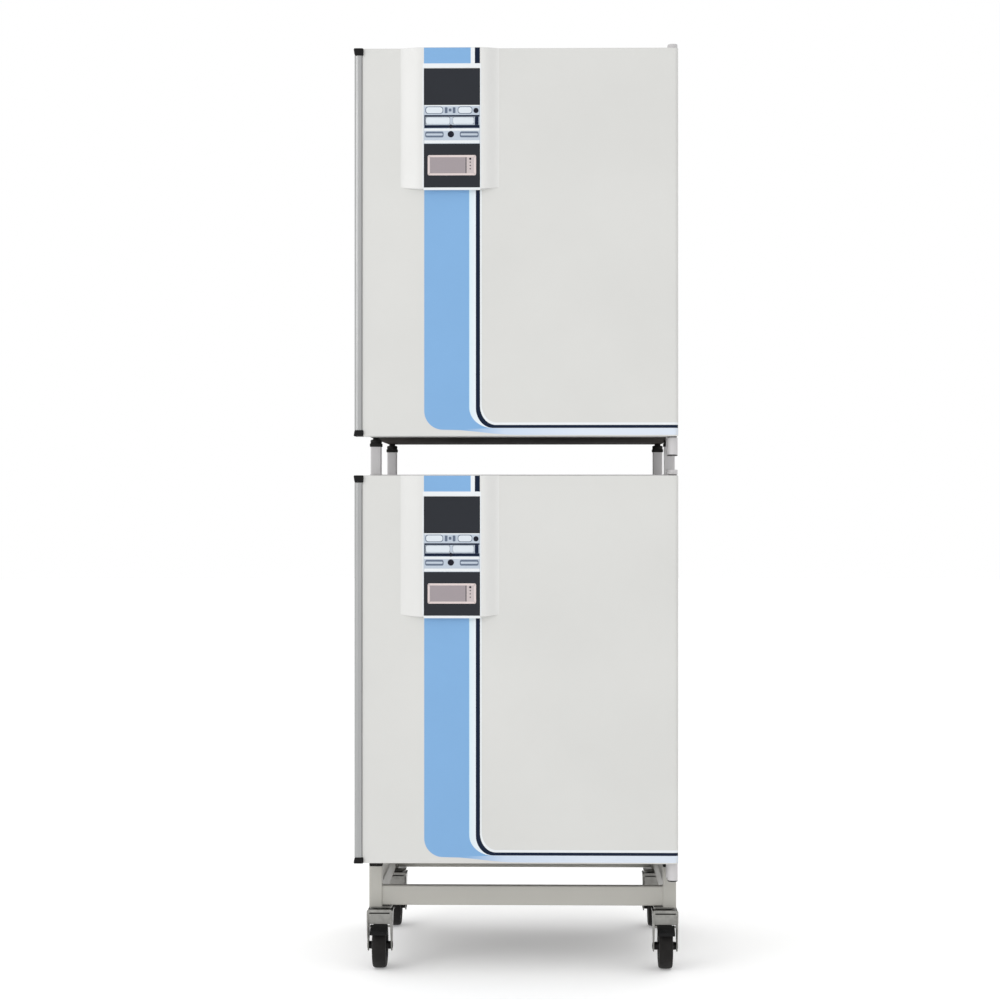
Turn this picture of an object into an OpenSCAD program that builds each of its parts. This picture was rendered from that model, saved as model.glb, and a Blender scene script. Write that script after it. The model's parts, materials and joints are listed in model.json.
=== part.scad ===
// Two laboratory incubators stacked on a roller base.
// Millimetres, +Z up. The doors face -Y, their handles are at -X and their hinges at +X.
// The origin is on the floor, in the middle of the overall width and depth.

/* [Overall] */
// Width from the door handle to the right-hand casters
overall_w = 784; // [780:1:800]
// Depth over the keys and the gas spigots
overall_d = 834; // [830:1:840]

/* [Cabinet] */
// Height of one cabinet
unit_h = 932; // [920:1:950]
// Width of a cabinet body
cabinet_w = 750; // [740:1:760]
// Depth of a cabinet body
cabinet_d = 694; // [688:1:700]
// Thickness of the casing sheet
sheet_t = 2; // [1.5:0.5:2.5]
// Depth of the rear cover
rear_cover_d = 30; // [20:1:35]

/* [Chamber] */
// Inside width of the chamber
chamber_w = 607; // [590:1:610]
// Inside height of the chamber
chamber_h = 670; // [660:1:680]
// Inside depth of the chamber
chamber_d = 583; // [580:1:586]
// Height of the chamber floor above the cabinet's underside
chamber_floor = 125; // [115:1:130]
// Thickness of the chamber sheet
chamber_t = 1.5; // [1:0.5:2]
// Width of the flange around the mouth of the chamber
flange_w = 25; // [22:1:26]
// Shelves in each chamber
shelf_count = 3; // [2:1:3]

/* [Door] */
// Thickness of the outer door
door_t = 72; // [70:1:74]
// Thickness of the door gasket
gasket_t = 12; // [12:1:13]
// How far the control housing stands out from the door
housing_proud = 16; // [14:1:18]
// Height of the control housing
housing_h = 340; // [330:1:345]
// How far the grip stands out past the door's edge
grip_w = 20; // [18:1:22]
// Radius of the hinge pins of the outer door
hinge_pin_r = 6; // [5:0.5:6]
// Thickness of the inner glass door
glass_t = 5; // [4:0.5:5]

/* [Frames] */
// Width of the square posts of the roller base
base_post_w = 32; // [30:1:36]
// Height of the posts of the roller base
base_post_h = 98; // [90:1:110]
// Depth of the roller base
base_d = 632; // [620:1:640]
// Height of the rails of the roller base
rail_h = 48; // [40:1:50]
// Width of the square posts between the cabinets
stack_post_w = 26; // [24:1:30]
// Height of the posts between the cabinets
stack_post_h = 71; // [66:1:90]
// Thickness of the rubber pads on the posts
pad_t = 9; // [8:1:12]
// Height of the feet under the cabinets
foot_h = 14; // [12:1:16]

/* [Casters] */
// Height of a caster
caster_h = 147; // [145:1:150]
// Diameter of a wheel
wheel_d = 110; // [105:1:112]
// Width of a tyre
wheel_w = 34; // [30:1:36]
// Distance from the swivel axis to the wheel axle
trail = 35; // [30:1:36]
// How far a caster stands out past the side of the base
caster_over = 4; // [2:1:8]

/* [Hidden] */
$fn = 64;

// Seams and fits
seam = 0.2;      // between pieces that butt against each other
running = 0.05;  // radial clearance of a pin in its bush
eps = 1;         // how far a cut runs past a face

// Places across the width
x_right = overall_w / 2 - caster_over;
cabinet_x = [x_right - cabinet_w, x_right];
door_x = [grip_w - overall_w / 2, x_right];
mid_x = (cabinet_x[0] + cabinet_x[1]) / 2;

// Places along the depth
y_front = -overall_d / 2;
door_y = [y_front + housing_proud, y_front + housing_proud + door_t];
cabinet_y = [door_y[1] + gasket_t, door_y[1] + gasket_t + cabinet_d];
liner_d = 24;    // depth of the door liner, inside the door's thickness
liner_sheet = 2;
liner_y = door_y[1] - liner_d;

// Places up the height
unit_z0 = caster_h + base_post_h + pad_t + foot_h;
stack_z = unit_z0 + unit_h;
unit_z1 = stack_z + stack_post_h + pad_t + foot_h;
unit_z = [unit_z0, unit_z1];
lower = 0;
upper = 1;

// Casters, in a frame with the swivel axis at x = 0, y = 0 and the floor at z = 0
wheel_r = wheel_d / 2;
axle_r = 6;
nut_t = 0.5;     // how far the axle nuts stand out of the fork
kingpin_r = 5;
fork_w = 62;
fork_z = [134, 139];
leg_x = 27;
leg_t = 3;
apron_z = [110, 145];
brake_pin_y = -66;
brake_pin_z = 106;
brake_pin_r = 2.5;

// Posts and feet share one grid, and the casters stand a little further in
base_y = [cabinet_y[0] + 17, cabinet_y[0] + 17 + base_d];
post_x = grown(cabinet_x, -base_post_w / 2);
post_y = grown(base_y, -base_post_w / 2);
caster_in = fork_w / 2 + nut_t - caster_over;
caster_x = grown(cabinet_x, -caster_in);
caster_y = grown(base_y, -caster_in);

// Chamber, from here down in the cabinet's own height
chamber_x = [mid_x - chamber_w / 2, mid_x + chamber_w / 2];
chamber_y1 = cabinet_y[0] + chamber_d;
chamber_z = [chamber_floor, chamber_floor + chamber_h];
flange_x = [chamber_x[0] - flange_w, chamber_x[1] + flange_w];
flange_z = [chamber_z[0] - flange_w, chamber_z[1] + flange_w];

// Shelves
reservoir_z = chamber_z[0] + 37;
shelf_pitch = (chamber_h - 55) / (shelf_count + 1);
shelf_x = [chamber_x[0] + 26.5, chamber_x[1] - 26.5];
shelf_y = [cabinet_y[0] + 31, chamber_y1 - 66];
shelf_rim = 12;
upright_y = [cabinet_y[0] + 82, chamber_y1 - 111];
upright_w = 20;
upright_t = 11.4;

// Fan
fan_z = chamber_z[1] - 105;
shaft_r = 4;
motor_r = 38;
motor_y = [chamber_y1 + 34, chamber_y1 + 90];

// Access port and services at the back
port_x = mid_x - 250;
port_z = chamber_z[0] + 175;
port_r = 24;
spigot_x = mid_x + 235;
spigot_z = 36;
spigot_r = 4;
inlet_x = mid_x + 125;
inlet_z = 38;

// Outer door hinge
hinge_x = x_right - 12;
hinge_y = door_y[0] + door_t / 2;
bush_l = 30;
bush_r = hinge_pin_r + 3.5;
hinge_gap = 2;
hinge_plate_t = 8;

// Inner glass door
seal_t = 4;
seal_w = 8;
seal_in = 2;     // from the chamber's mouth to the seal
glass_y = [cabinet_y[0] - seal_t - glass_t, cabinet_y[0] - seal_t];
glass_x = [chamber_x[0] - 15.5, chamber_x[1] + 11.5];
glass_z = [chamber_z[0] - 15, chamber_z[1] + 15];
glass_hinge_x = glass_x[1] + 4;
glass_hinge_y = glass_y[1];
glass_hinge_z = [chamber_z[0] + 60, chamber_z[1] - 74];
glass_hinge_l = 14;
glass_pin_r = 2.5;
glass_knuckle_r = 3.7;
knob_x = glass_x[0] + 22;
knob_z = (glass_z[0] + glass_z[1]) / 2;

// Control housing, display windows and keys on the door
panel_x = [door_x[0] + 150, door_x[0] + 284];
housing_x = [panel_x[0] - 57, panel_x[1] + 46];
housing_face = y_front + 2;
panel_face = y_front + 1;
panel_t = 4;
housing_wall = 3;
window_top = unit_h - 51;
keypad_z = [window_top - 180.5, window_top - 88];
window_low = window_top - 285;
key_t = 6;
key_gap = 0.4;
key_row_z = [keypad_z[0] + 47, keypad_z[0] + 63];
left_key_x = [panel_x[0] + 5, panel_x[0] + 62];
right_key_x = [panel_x[0] + 69.5, panel_x[0] + 119.5];
round_key_x = panel_x[0] + 64.5;
round_key_z = keypad_z[0] + 22.5;
round_key_r = 7.2;

// Door grip
grip_cap_h = 20;
grip_back = door_y[1] - 12;

// ---------------------------------------------------------------- shapes

// A box between two corners, given as ranges
module block(x, y, z) {
    translate([x[0], y[0], z[0]])
        cube([x[1] - x[0], y[1] - y[0], z[1] - z[0]]);
}

// Four bars around a rectangular hole, facing along Y
module ring_y(ox, oz, ix, iz, y) {
    block([ox[0], ix[0]], y, oz);
    block([ix[1], ox[1]], y, oz);
    block([ix[0] + seam, ix[1] - seam], y, [iz[1], oz[1]]);
    block([ix[0] + seam, ix[1] - seam], y, [oz[0], iz[0]]);
}

// A range grown by d at both ends
function grown(r, d) = [r[0] - d, r[1] + d];

// A cylinder along Y between two places
module rod_y(x, z, r, y) {
    translate([x, y[1], z])
        rotate([90, 0, 0])
            cylinder(r = r, h = y[1] - y[0]);
}

// A cylinder along X between two places
module rod_x(y, z, r, x) {
    translate([x[0], y, z])
        rotate([0, 90, 0])
            cylinder(r = r, h = x[1] - x[0]);
}

// Square tube, open at both ends, along each axis
module tube_x(x, y, z, t) {
    difference() {
        block(x, y, z);
        block(grown(x, eps), grown(y, -t), grown(z, -t));
    }
}

module tube_y(x, y, z, t) {
    difference() {
        block(x, y, z);
        block(grown(x, -t), grown(y, eps), grown(z, -t));
    }
}

module tube_z(x, y, z, t) {
    difference() {
        block(x, y, z);
        block(grown(x, -t), grown(y, -t), grown(z, eps));
    }
}

// Things in each cabinet, and things at each post
module in_unit(level) {
    translate([0, 0, unit_z[level]])
        children();
}

module in_both_units() {
    for (level = [lower, upper])
        in_unit(level)
            children();
}

module at_posts(z) {
    for (x = post_x, y = post_y)
        translate([x, y, z])
            children();
}

// Left and right sides of the chamber
module both_sides() {
    children();
    translate([2 * mid_x, 0, 0])
        mirror([1, 0, 0])
            children();
}

// ---------------------------------------------------------------- frames

module roller_frame() {
    tube_t = 2.5;
    rail_w = 25;
    rail_z = [caster_h + 3, caster_h + 3 + rail_h];
    half = base_post_w / 2;
    color([0.78, 0.79, 0.77]) {
        at_posts(caster_h)
            tube_z([-half, half], [-half, half], [0, base_post_h], tube_t);
        for (y = post_y)
            tube_x(
                [post_x[0] + half + seam, post_x[1] - half - seam],
                [y - rail_w / 2, y + rail_w / 2], rail_z, tube_t
            );
        for (x = post_x)
            tube_y(
                [x - rail_w / 2, x + rail_w / 2],
                [post_y[0] + half + seam, post_y[1] - half - seam], rail_z, tube_t
            );
    }
}

module stacking_frame() {
    flat_t = 3;
    flat_w = 40;
    tube_t = 2;
    half = stack_post_w / 2;
    x = [post_x[0] - half, post_x[1] + half];
    y = [post_y[0] - half, post_y[1] + half];
    z = [stack_z, stack_z + flat_t];
    color([0.8, 0.81, 0.8]) {
        for (side = [[x[0], x[0] + flat_w], [x[1] - flat_w, x[1]]])
            block(side, y, z);
        for (side = [[y[0], y[0] + flat_w], [y[1] - flat_w, y[1]]])
            block([x[0] + flat_w + seam, x[1] - flat_w - seam], side, z);
        at_posts(stack_z + flat_t + seam)
            tube_z(
                [-half, half], [-half, half],
                [0, stack_post_h - flat_t - seam], tube_t
            );
    }
}

module support_pads() {
    color([0.05, 0.05, 0.05]) {
        at_posts(caster_h + base_post_h)
            pad(base_post_w);
        at_posts(stack_z + stack_post_h)
            pad(stack_post_w + 4);
    }
}

module pad(w) {
    translate([-w / 2, -w / 2, 0])
        cube([w, w, pad_t]);
}

module cabinet_feet() {
    sole_h = 9;
    color([0.07, 0.07, 0.07])
        in_both_units()
            at_posts(-foot_h)
                rotate_extrude()
                    polygon([
                        [0, 0], [13, 0], [14, 1], [14, sole_h - 2], [11, sole_h],
                        [8, sole_h], [8, foot_h], [0, foot_h]
                    ]);
}

// ---------------------------------------------------------------- casters

module at_caster(x, y) {
    translate([caster_x[x], caster_y[y], 0])
        children();
}

// Corner plates with the races and kingpins that the forks turn on
module caster_plates() {
    plate_w = 2 * caster_in;
    plate_t = 4;
    race_gap = 0.4;
    head_h = 7;
    head_z = fork_z[0] - race_gap - head_h;
    color([0.6, 0.61, 0.62])
        for (x = [0, 1], y = [0, 1])
            at_caster(x, y) {
                translate([-plate_w / 2, -plate_w / 2, caster_h - plate_t])
                    cube([plate_w, plate_w, plate_t]);
                translate([0, 0, fork_z[1] + race_gap])
                    cylinder(r = 19, h = caster_h - plate_t - fork_z[1] - race_gap);
                translate([0, 0, head_z])
                    cylinder(r = kingpin_r, h = caster_h - head_z);
                translate([0, 0, head_z])
                    cylinder(r = kingpin_r + 4, h = head_h);
            }
}

module leg_outline() {
    polygon([
        [22, fork_z[1]], [-61, fork_z[1]], [brake_pin_y - 5, brake_pin_z + 4],
        [brake_pin_y - 5, brake_pin_z - 4], [-trail - 14, wheel_r], [-trail + 14, wheel_r]
    ]);
    translate([-trail, wheel_r])
        circle(r = 14);
}

// Pressed fork with its axle, and a pin for the brake lever where there is one
module caster_fork(x, y, braked) {
    half = fork_w / 2;
    color([0.55, 0.56, 0.56])
        at_caster(x, y) {
            difference() {
                block([-half, half], [-62, 24], fork_z);
                translate([0, 0, fork_z[0] - eps])
                    cylinder(r = kingpin_r + running, h = fork_z[1] - fork_z[0] + 2 * eps);
            }
            block([-half, half], [-62, -59], apron_z);
            for (side = [-leg_x - leg_t, leg_x])
                translate([side, 0, 0])
                    rotate([90, 0, 90])
                        linear_extrude(leg_t)
                            leg_outline();
            rod_x(-trail, wheel_r, axle_r, [-half, half]);
            for (side = [[-half - nut_t, -leg_x - leg_t], [leg_x + leg_t, half + nut_t]])
                rod_x(-trail, wheel_r, 9, side);
            if (braked)
                rod_x(brake_pin_y, brake_pin_z, brake_pin_r, [-leg_x - 1, leg_x + 1]);
        }
}

// Crowned tyre on a hub whose bosses fill the fork
module caster_wheel(x, y) {
    boss = leg_x - 0.5;
    rim_r = wheel_r - 17;
    half = wheel_w / 2;
    color([0.12, 0.12, 0.12])
        at_caster(x, y)
            translate([0, -trail, wheel_r])
                rotate([0, 90, 0]) {
                    rotate_extrude()
                        polygon([
                            [rim_r, 2 - half], [wheel_r - 5, -half], [wheel_r - 1, 3 - half],
                            [wheel_r, 8 - half], [wheel_r, half - 8], [wheel_r - 1, half - 3],
                            [wheel_r - 5, half], [rim_r, half - 2]
                        ]);
                    rotate_extrude()
                        polygon([
                            [axle_r + running, -boss], [9, -boss], [9.5, -half],
                            [rim_r - seam, 5 - half], [rim_r - seam, half - 5],
                            [9.5, half], [9, boss], [axle_r + running, boss]
                        ]);
                }
}

module brake_lever(x, y) {
    lever_w = 42;
    color([0.09, 0.09, 0.09])
        at_caster(x, y)
            translate([-lever_w / 2, brake_pin_y, brake_pin_z])
                rotate([90, 0, 90])
                    linear_extrude(lever_w)
                        difference() {
                            union() {
                                circle(r = 3.8);
                                polygon([
                                    [1, 3.6], [-2, 3.7], [-30, -9], [-34, -14],
                                    [-32, -17], [-28, -14], [-3, -2.4]
                                ]);
                            }
                            circle(r = brake_pin_r + running);
                        }
}

// ---------------------------------------------------------------- cabinet

module casing(level) {
    inside_x = grown(cabinet_x, -sheet_t);
    inside_z = [sheet_t, unit_h - sheet_t];
    front = [cabinet_y[0], cabinet_y[0] + sheet_t];
    back = [cabinet_y[1] - sheet_t, cabinet_y[1]];
    color([0.87, 0.87, 0.85])
        in_unit(level) {
            block([cabinet_x[0], inside_x[0]], cabinet_y, [0, unit_h]);
            block([inside_x[1], cabinet_x[1]], cabinet_y, [0, unit_h]);
            block(grown(inside_x, -seam), cabinet_y, [inside_z[1], unit_h]);
            block(grown(inside_x, -seam), cabinet_y, [0, inside_z[0]]);
            ring_y(
                grown(inside_x, -seam), grown(inside_z, -seam),
                grown(flange_x, seam), grown(flange_z, seam), front
            );
            difference() {
                block(grown(inside_x, -seam), back, grown(inside_z, -seam));
                rod_y(port_x, port_z, port_r + seam, grown(back, eps));
                rod_y(spigot_x, spigot_z, spigot_r + 2.2, grown(back, eps));
            }
        }
}

module chamber(level) {
    outer_x = grown(chamber_x, chamber_t);
    outer_z = grown(chamber_z, chamber_t);
    wall_y = [cabinet_y[0] + sheet_t + seam, chamber_y1 + chamber_t];
    back = [chamber_y1, chamber_y1 + chamber_t];
    color([0.75, 0.76, 0.77])
        in_unit(level) {
            block([outer_x[0], chamber_x[0]], wall_y, outer_z);
            block([chamber_x[1], outer_x[1]], wall_y, outer_z);
            block(grown(chamber_x, -seam), wall_y, [chamber_z[1], outer_z[1]]);
            block(grown(chamber_x, -seam), wall_y, [outer_z[0], chamber_z[0]]);
            ring_y(
                flange_x, flange_z, chamber_x, chamber_z,
                [cabinet_y[0], cabinet_y[0] + sheet_t]
            );
            difference() {
                block(grown(chamber_x, -seam), back, grown(chamber_z, -seam));
                rod_y(mid_x, fan_z, shaft_r + 6, grown(back, eps));
                rod_y(port_x, port_z, port_r + seam, grown(back, eps));
            }
        }
}

// Five foam slabs between the chamber and the casing of each cabinet
module cabinet_insulation() {
    outer_x = grown(cabinet_x, -sheet_t - seam);
    outer_z = [sheet_t + seam, unit_h - sheet_t - seam];
    inner_x = grown(chamber_x, chamber_t + seam);
    inner_z = grown(chamber_z, chamber_t + seam);
    y = [cabinet_y[0] + sheet_t + seam, cabinet_y[1] - sheet_t - seam];
    back = [chamber_y1 + chamber_t + seam, y[1]];
    color([0.95, 0.9, 0.75])
        in_both_units() {
            block([outer_x[0], inner_x[0]], y, outer_z);
            block([inner_x[1], outer_x[1]], y, outer_z);
            block(grown(inner_x, -seam), y, [inner_z[1], outer_z[1]]);
            block(grown(inner_x, -seam), y, [outer_z[0], inner_z[0]]);
            difference() {
                block(grown(inner_x, -seam), back, grown(inner_z, -seam));
                rod_y(mid_x, fan_z, shaft_r + 6, grown(back, eps));
                rod_y(mid_x, fan_z, motor_r + 2, [motor_y[0] - 2, back[1] + eps]);
                rod_y(port_x, port_z, port_r + seam, grown(back, eps));
            }
        }
}

// Sheet box over the electronics, open towards the cabinet
module rear_covers() {
    x = [mid_x - 205, mid_x + 315];
    z = [78, unit_h - 60];
    y = [cabinet_y[1], cabinet_y[1] + rear_cover_d];
    color([0.84, 0.84, 0.82])
        in_both_units()
            difference() {
                block(x, y, z);
                block(grown(x, -sheet_t), [y[0] - eps, y[1] - sheet_t], grown(z, -sheet_t));
            }
}

// ---------------------------------------------------------------- chamber fittings

function shelf_z(i) = reservoir_z + shelf_pitch * i;

// Channel uprights at the sides of the chamber, with rails that the shelves lie on
module shelf_posts() {
    x = [chamber_x[0] + seam, chamber_x[0] + seam + upright_t];
    lip = 2;
    color([0.76, 0.77, 0.78])
        in_both_units()
            both_sides() {
                for (y = upright_y)
                    difference() {
                        block(x, [y - upright_w / 2, y + upright_w / 2], grown(chamber_z, -seam));
                        block(
                            [x[0] - eps, x[1] - lip],
                            [y - upright_w / 2 + lip, y + upright_w / 2 - lip],
                            grown(chamber_z, eps)
                        );
                    }
                for (i = [1:shelf_count])
                    block(
                        [x[1] + seam, x[1] + seam + 18], grown(upright_y, upright_w / 2),
                        [shelf_z(i) - shelf_rim - 3, shelf_z(i) - shelf_rim - seam]
                    );
            }
}

// Shelf trays with a rim turned down on all four sides
module shelves() {
    t = 2;
    color([0.77, 0.78, 0.79])
        in_both_units()
            for (i = [1:shelf_count])
                difference() {
                    block(shelf_x, shelf_y, [shelf_z(i) - shelf_rim, shelf_z(i)]);
                    block(
                        grown(shelf_x, -t), grown(shelf_y, -t),
                        [shelf_z(i) - shelf_rim - eps, shelf_z(i) - t]
                    );
                }
}

// Cover over the fan, and the cover of the water reservoir in the chamber floor
module chamber_covers() {
    t = 2;
    fan_x = [mid_x - 150, mid_x + 150];
    cover_z = [fan_z - 120, chamber_z[1] - 10];
    cover_y = [chamber_y1 - 52, chamber_y1 - seam];
    inlet_r = 50;
    tray_x = grown(chamber_x, -upright_t - 3);
    tray_y = [cabinet_y[0] + 31, cover_y[0] - 6];
    color([0.78, 0.79, 0.8])
        in_both_units() {
            difference() {
                block(fan_x, cover_y, cover_z);
                block(grown(fan_x, -t), [cover_y[0] + t, cover_y[1] + eps], grown(cover_z, -t));
                rod_y(mid_x, fan_z, inlet_r, [cover_y[0] - eps, cover_y[0] + t + eps]);
            }
            difference() {
                block(tray_x, tray_y, [chamber_z[0] + seam, reservoir_z]);
                block(
                    grown(tray_x, -t), grown(tray_y, -t),
                    [chamber_z[0] - eps, reservoir_z - t]
                );
            }
        }
}

module fan_motors() {
    color([0.3, 0.31, 0.33])
        in_both_units()
            difference() {
                rod_y(mid_x, fan_z, motor_r, motor_y);
                rod_y(mid_x, fan_z, shaft_r + running, [motor_y[0] - eps, motor_y[0] + 42]);
            }
}

// Shaft, back plate and blades of the circulation fan, in one piece
module fan(level) {
    y = [chamber_y1 - 44, chamber_y1 - 14];
    disc_t = 2;
    blade_count = 12;
    blade_r = [26, 50];
    disc_r = 52;
    color([0.7, 0.72, 0.74])
        in_unit(level) {
            rod_y(mid_x, fan_z, shaft_r, [y[0], motor_y[0] + 40]);
            rod_y(mid_x, fan_z, 12, [y[0], y[1]]);
            rod_y(mid_x, fan_z, disc_r, [y[1] - disc_t, y[1]]);
            for (i = [0:blade_count - 1])
                translate([mid_x, 0, fan_z])
                    rotate([0, i * 360 / blade_count, 0])
                        block(blade_r, [y[0] + 4, y[1] - 1], [-0.8, 0.8]);
        }
}

module sensor_heads() {
    x = mid_x + 215;
    z = chamber_z[1] - 65;
    color([0.9, 0.9, 0.88])
        in_both_units() {
            rod_y(x, z, 14, [chamber_y1 - 10, chamber_y1 - seam]);
            rod_y(x, z, 10, [chamber_y1 - 42, chamber_y1 - 10]);
        }
}

module chamber_seals() {
    inner_x = grown(chamber_x, seal_in);
    inner_z = grown(chamber_z, seal_in);
    color([0.88, 0.88, 0.86])
        in_both_units()
            ring_y(
                grown(inner_x, seal_w), grown(inner_z, seal_w), inner_x, inner_z,
                [cabinet_y[0] - seal_t, cabinet_y[0]]
            );
}

// Recessed mains inlet at the back: a plate and four walls
module power_inlets() {
    outer_x = [inlet_x - 25, inlet_x + 25];
    outer_z = [inlet_z - 15, inlet_z + 15];
    pocket_x = [inlet_x - 12.3, inlet_x + 12.3];
    pocket_z = [inlet_z - 8.5, inlet_z + 8.5];
    y = cabinet_y[1];
    color([0.1, 0.1, 0.1])
        in_both_units() {
            block(outer_x, [y, y + 3], outer_z);
            ring_y(outer_x, outer_z, pocket_x, pocket_z, [y + 3 + seam, y + 19]);
        }
}

// Gas spigot, and the access port with a stopper at each end
module rear_ports() {
    back = cabinet_y[1];
    color([0.72, 0.73, 0.74])
        in_both_units() {
            translate([spigot_x, back - sheet_t, spigot_z])
                rotate([-90, 0, 0])
                    rotate_extrude()
                        polygon([
                            [0, 0], [6, 0], [6, sheet_t], [10, sheet_t],
                            [10, sheet_t + 8], [spigot_r, sheet_t + 8],
                            [spigot_r, sheet_t + 38], [spigot_r - 1, sheet_t + 40],
                            [0, sheet_t + 40]
                        ]);
            difference() {
                rod_y(port_x, port_z, port_r, [chamber_y1 - 3, back + 4]);
                rod_y(port_x, port_z, port_r - 3, [chamber_y1 - 4, back + 5]);
            }
            rod_y(port_x, port_z, port_r - 3.3, [back - 30, back + 4]);
            rod_y(port_x, port_z, port_r + 2, [back + 4.2, back + 16]);
            rod_y(port_x, port_z, port_r - 3.3, [chamber_y1 - 8, chamber_y1 + 20]);
        }
}

// ---------------------------------------------------------------- hinges

// A bracket on the cabinet with a pin into the door, and the pins of the glass door
module hinge_brackets() {
    color([0.82, 0.82, 0.8])
        in_both_units() {
            hinge_bracket([unit_h + hinge_gap, unit_h + 14], [unit_h - 20, unit_h + 14]);
            hinge_pin([unit_h - bush_l + 2, unit_h + 13]);
            hinge_bracket([-46, -hinge_gap], [-46, 20]);
            hinge_pin([-45, bush_l - 2]);
            for (z = glass_hinge_z) {
                block(
                    [glass_hinge_x - 4, glass_hinge_x + 4], [glass_hinge_y, cabinet_y[0]],
                    [z - glass_hinge_l, z]
                );
                translate([glass_hinge_x, glass_hinge_y, z - glass_hinge_l])
                    cylinder(r = glass_knuckle_r, h = glass_hinge_l);
                translate([glass_hinge_x, glass_hinge_y, z - 1])
                    cylinder(r = glass_pin_r, h = glass_hinge_l + 1);
            }
        }
}

module hinge_bracket(arm_z, plate_z) {
    x = [x_right - 26, x_right];
    nose_r = 12;
    block(x, [cabinet_y[0] - hinge_plate_t, cabinet_y[0]], plate_z);
    block([hinge_x - nose_r, x[1]], [hinge_y, cabinet_y[0] - eps], arm_z);
    translate([hinge_x, hinge_y, arm_z[0]])
        cylinder(r = nose_r, h = arm_z[1] - arm_z[0]);
}

module hinge_pin(z) {
    translate([hinge_x, hinge_y, z[0]])
        cylinder(r = hinge_pin_r, h = z[1] - z[0]);
}

// ---------------------------------------------------------------- outer door

// Outline of the door pan seen from above, with its hinge edge rounded
module door_outline(inset, back) {
    r = 10 - inset;
    x = grown(door_x, -inset);
    y = [door_y[0] + inset, back];
    translate([x[0], y[0]])
        square([x[1] - x[0] - r, y[1] - y[0]]);
    translate([x[0], y[0] + r])
        square([x[1] - x[0], y[1] - y[0] - r]);
    translate([x[1] - r, y[0] + r])
        circle(r = r);
}

// Folded sheet pan, open towards the liner, with a bush at the top and the bottom
module door_skin(level) {
    t = 1.5;
    ends = [[0, bush_l], [unit_h - bush_l, unit_h]];
    color([0.86, 0.86, 0.85])
        in_unit(level) {
            difference() {
                linear_extrude(unit_h)
                    door_outline(0, liner_y);
                translate([0, 0, t])
                    linear_extrude(unit_h - 2 * t)
                        door_outline(t, liner_y + eps);
                translate([hinge_x, hinge_y, -eps])
                    cylinder(r = bush_r + seam, h = unit_h + 2 * eps);
            }
            for (z = ends)
                translate([hinge_x, hinge_y, z[0]])
                    difference() {
                        cylinder(r = bush_r, h = z[1] - z[0]);
                        translate([0, 0, -eps])
                            cylinder(r = hinge_pin_r + running, h = z[1] - z[0] + 2 * eps);
                    }
        }
}

// Inner panel of the door, dished behind the glass door's knob
module door_liner(level) {
    dish_x = [door_x[0] + 46, door_x[1] - 45];
    dish_z = [60, unit_h - 60];
    z = [0, unit_h];
    color([0.85, 0.86, 0.86])
        in_unit(level) {
            block(door_x, [liner_y + seam, liner_y + liner_sheet], z);
            ring_y(door_x, z, dish_x, dish_z, [liner_y + liner_sheet + seam, door_y[1]]);
        }
}

module door_core(level) {
    color([0.95, 0.9, 0.75])
        in_unit(level)
            block(
                [door_x[0] + 2, hinge_x - bush_r - 2], [door_y[0] + 2, liner_y - seam],
                [2, unit_h - 2]
            );
}

module door_gasket(level) {
    bar = 20;
    outer_x = [cabinet_x[0] + 20, hinge_x - 4];
    outer_z = [20, unit_h - 20];
    color([0.75, 0.76, 0.77])
        in_unit(level)
            ring_y(
                outer_x, outer_z, grown(outer_x, -bar), grown(outer_z, -bar),
                [door_y[1], cabinet_y[0]]
            );
}

// Extruded grip along the whole edge, with room for fingers behind its lip
module door_handle(level) {
    x = door_x[0] - seam;
    y = door_y[0];
    color([0.62, 0.63, 0.64])
        in_unit(level)
            translate([0, 0, grip_cap_h + seam])
                linear_extrude(unit_h - 2 * grip_cap_h - 2 * seam)
                    polygon([
                        [x, grip_back], [x, y - 3.5], [x - 8, y - 4.5], [x - 15, y - 2.5],
                        [x - 17.8, y + 2], [x - 16, y + 5.5], [x - 9, y + 4.5],
                        [x - 5, y + 8], [x - 5, grip_back]
                    ]);
}

module handle_caps(level) {
    x = door_x[0];
    y = door_y[0];
    color([0.04, 0.04, 0.04])
        in_unit(level)
            for (z = [[0, grip_cap_h], [unit_h - grip_cap_h, unit_h]])
                translate([0, 0, z[0]])
                    linear_extrude(grip_cap_h)
                        polygon([
                            [x - seam, grip_back - 2], [x - seam, y - 0.3], [x + 4, y - 0.3],
                            [x + 4, y - 5], [x + 1, y - 7], [x - 16, y - 7],
                            [x - 20, y - 3], [x - 20, y + 9], [x - 17, grip_back - 2]
                        ]);
}

// ---------------------------------------------------------------- controls

// Swelling on the door, flat in the middle and faired out at both sides
module control_housing(level) {
    z = [unit_h - housing_h, unit_h];
    y = door_y[0];
    face = housing_face;
    x = housing_x;
    flat = grown(panel_x, 3);
    w = housing_wall;
    color([0.9, 0.9, 0.89])
        in_unit(level)
            difference() {
                translate([0, 0, z[0]])
                    linear_extrude(housing_h)
                        polygon([
                            [x[0], y], [x[0] + 8, y - 1], [x[0] + 30, face + 6],
                            [flat[0] - 10, face + 1.5], [flat[0], face], [flat[1], face],
                            [flat[1] + 10, face + 1.5], [x[1] - 22, face + 6],
                            [x[1] - 8, y - 1], [x[1], y]
                        ]);
                translate([0, 0, z[0] + w])
                    linear_extrude(housing_h - 2 * w)
                        polygon([
                            [x[0] + 28, y + eps], [x[0] + 34, face + 9],
                            [flat[0] - 6, face + w + 1], [flat[0], face + w],
                            [flat[1], face + w], [flat[1] + 6, face + w + 1],
                            [x[1] - 26, face + 9], [x[1] - 20, y + eps]
                        ]);
                block(
                    grown(panel_x, 0.3), [face - eps, face + w + eps],
                    [window_low - 0.3, window_top + 0.3]
                );
            }
}

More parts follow.
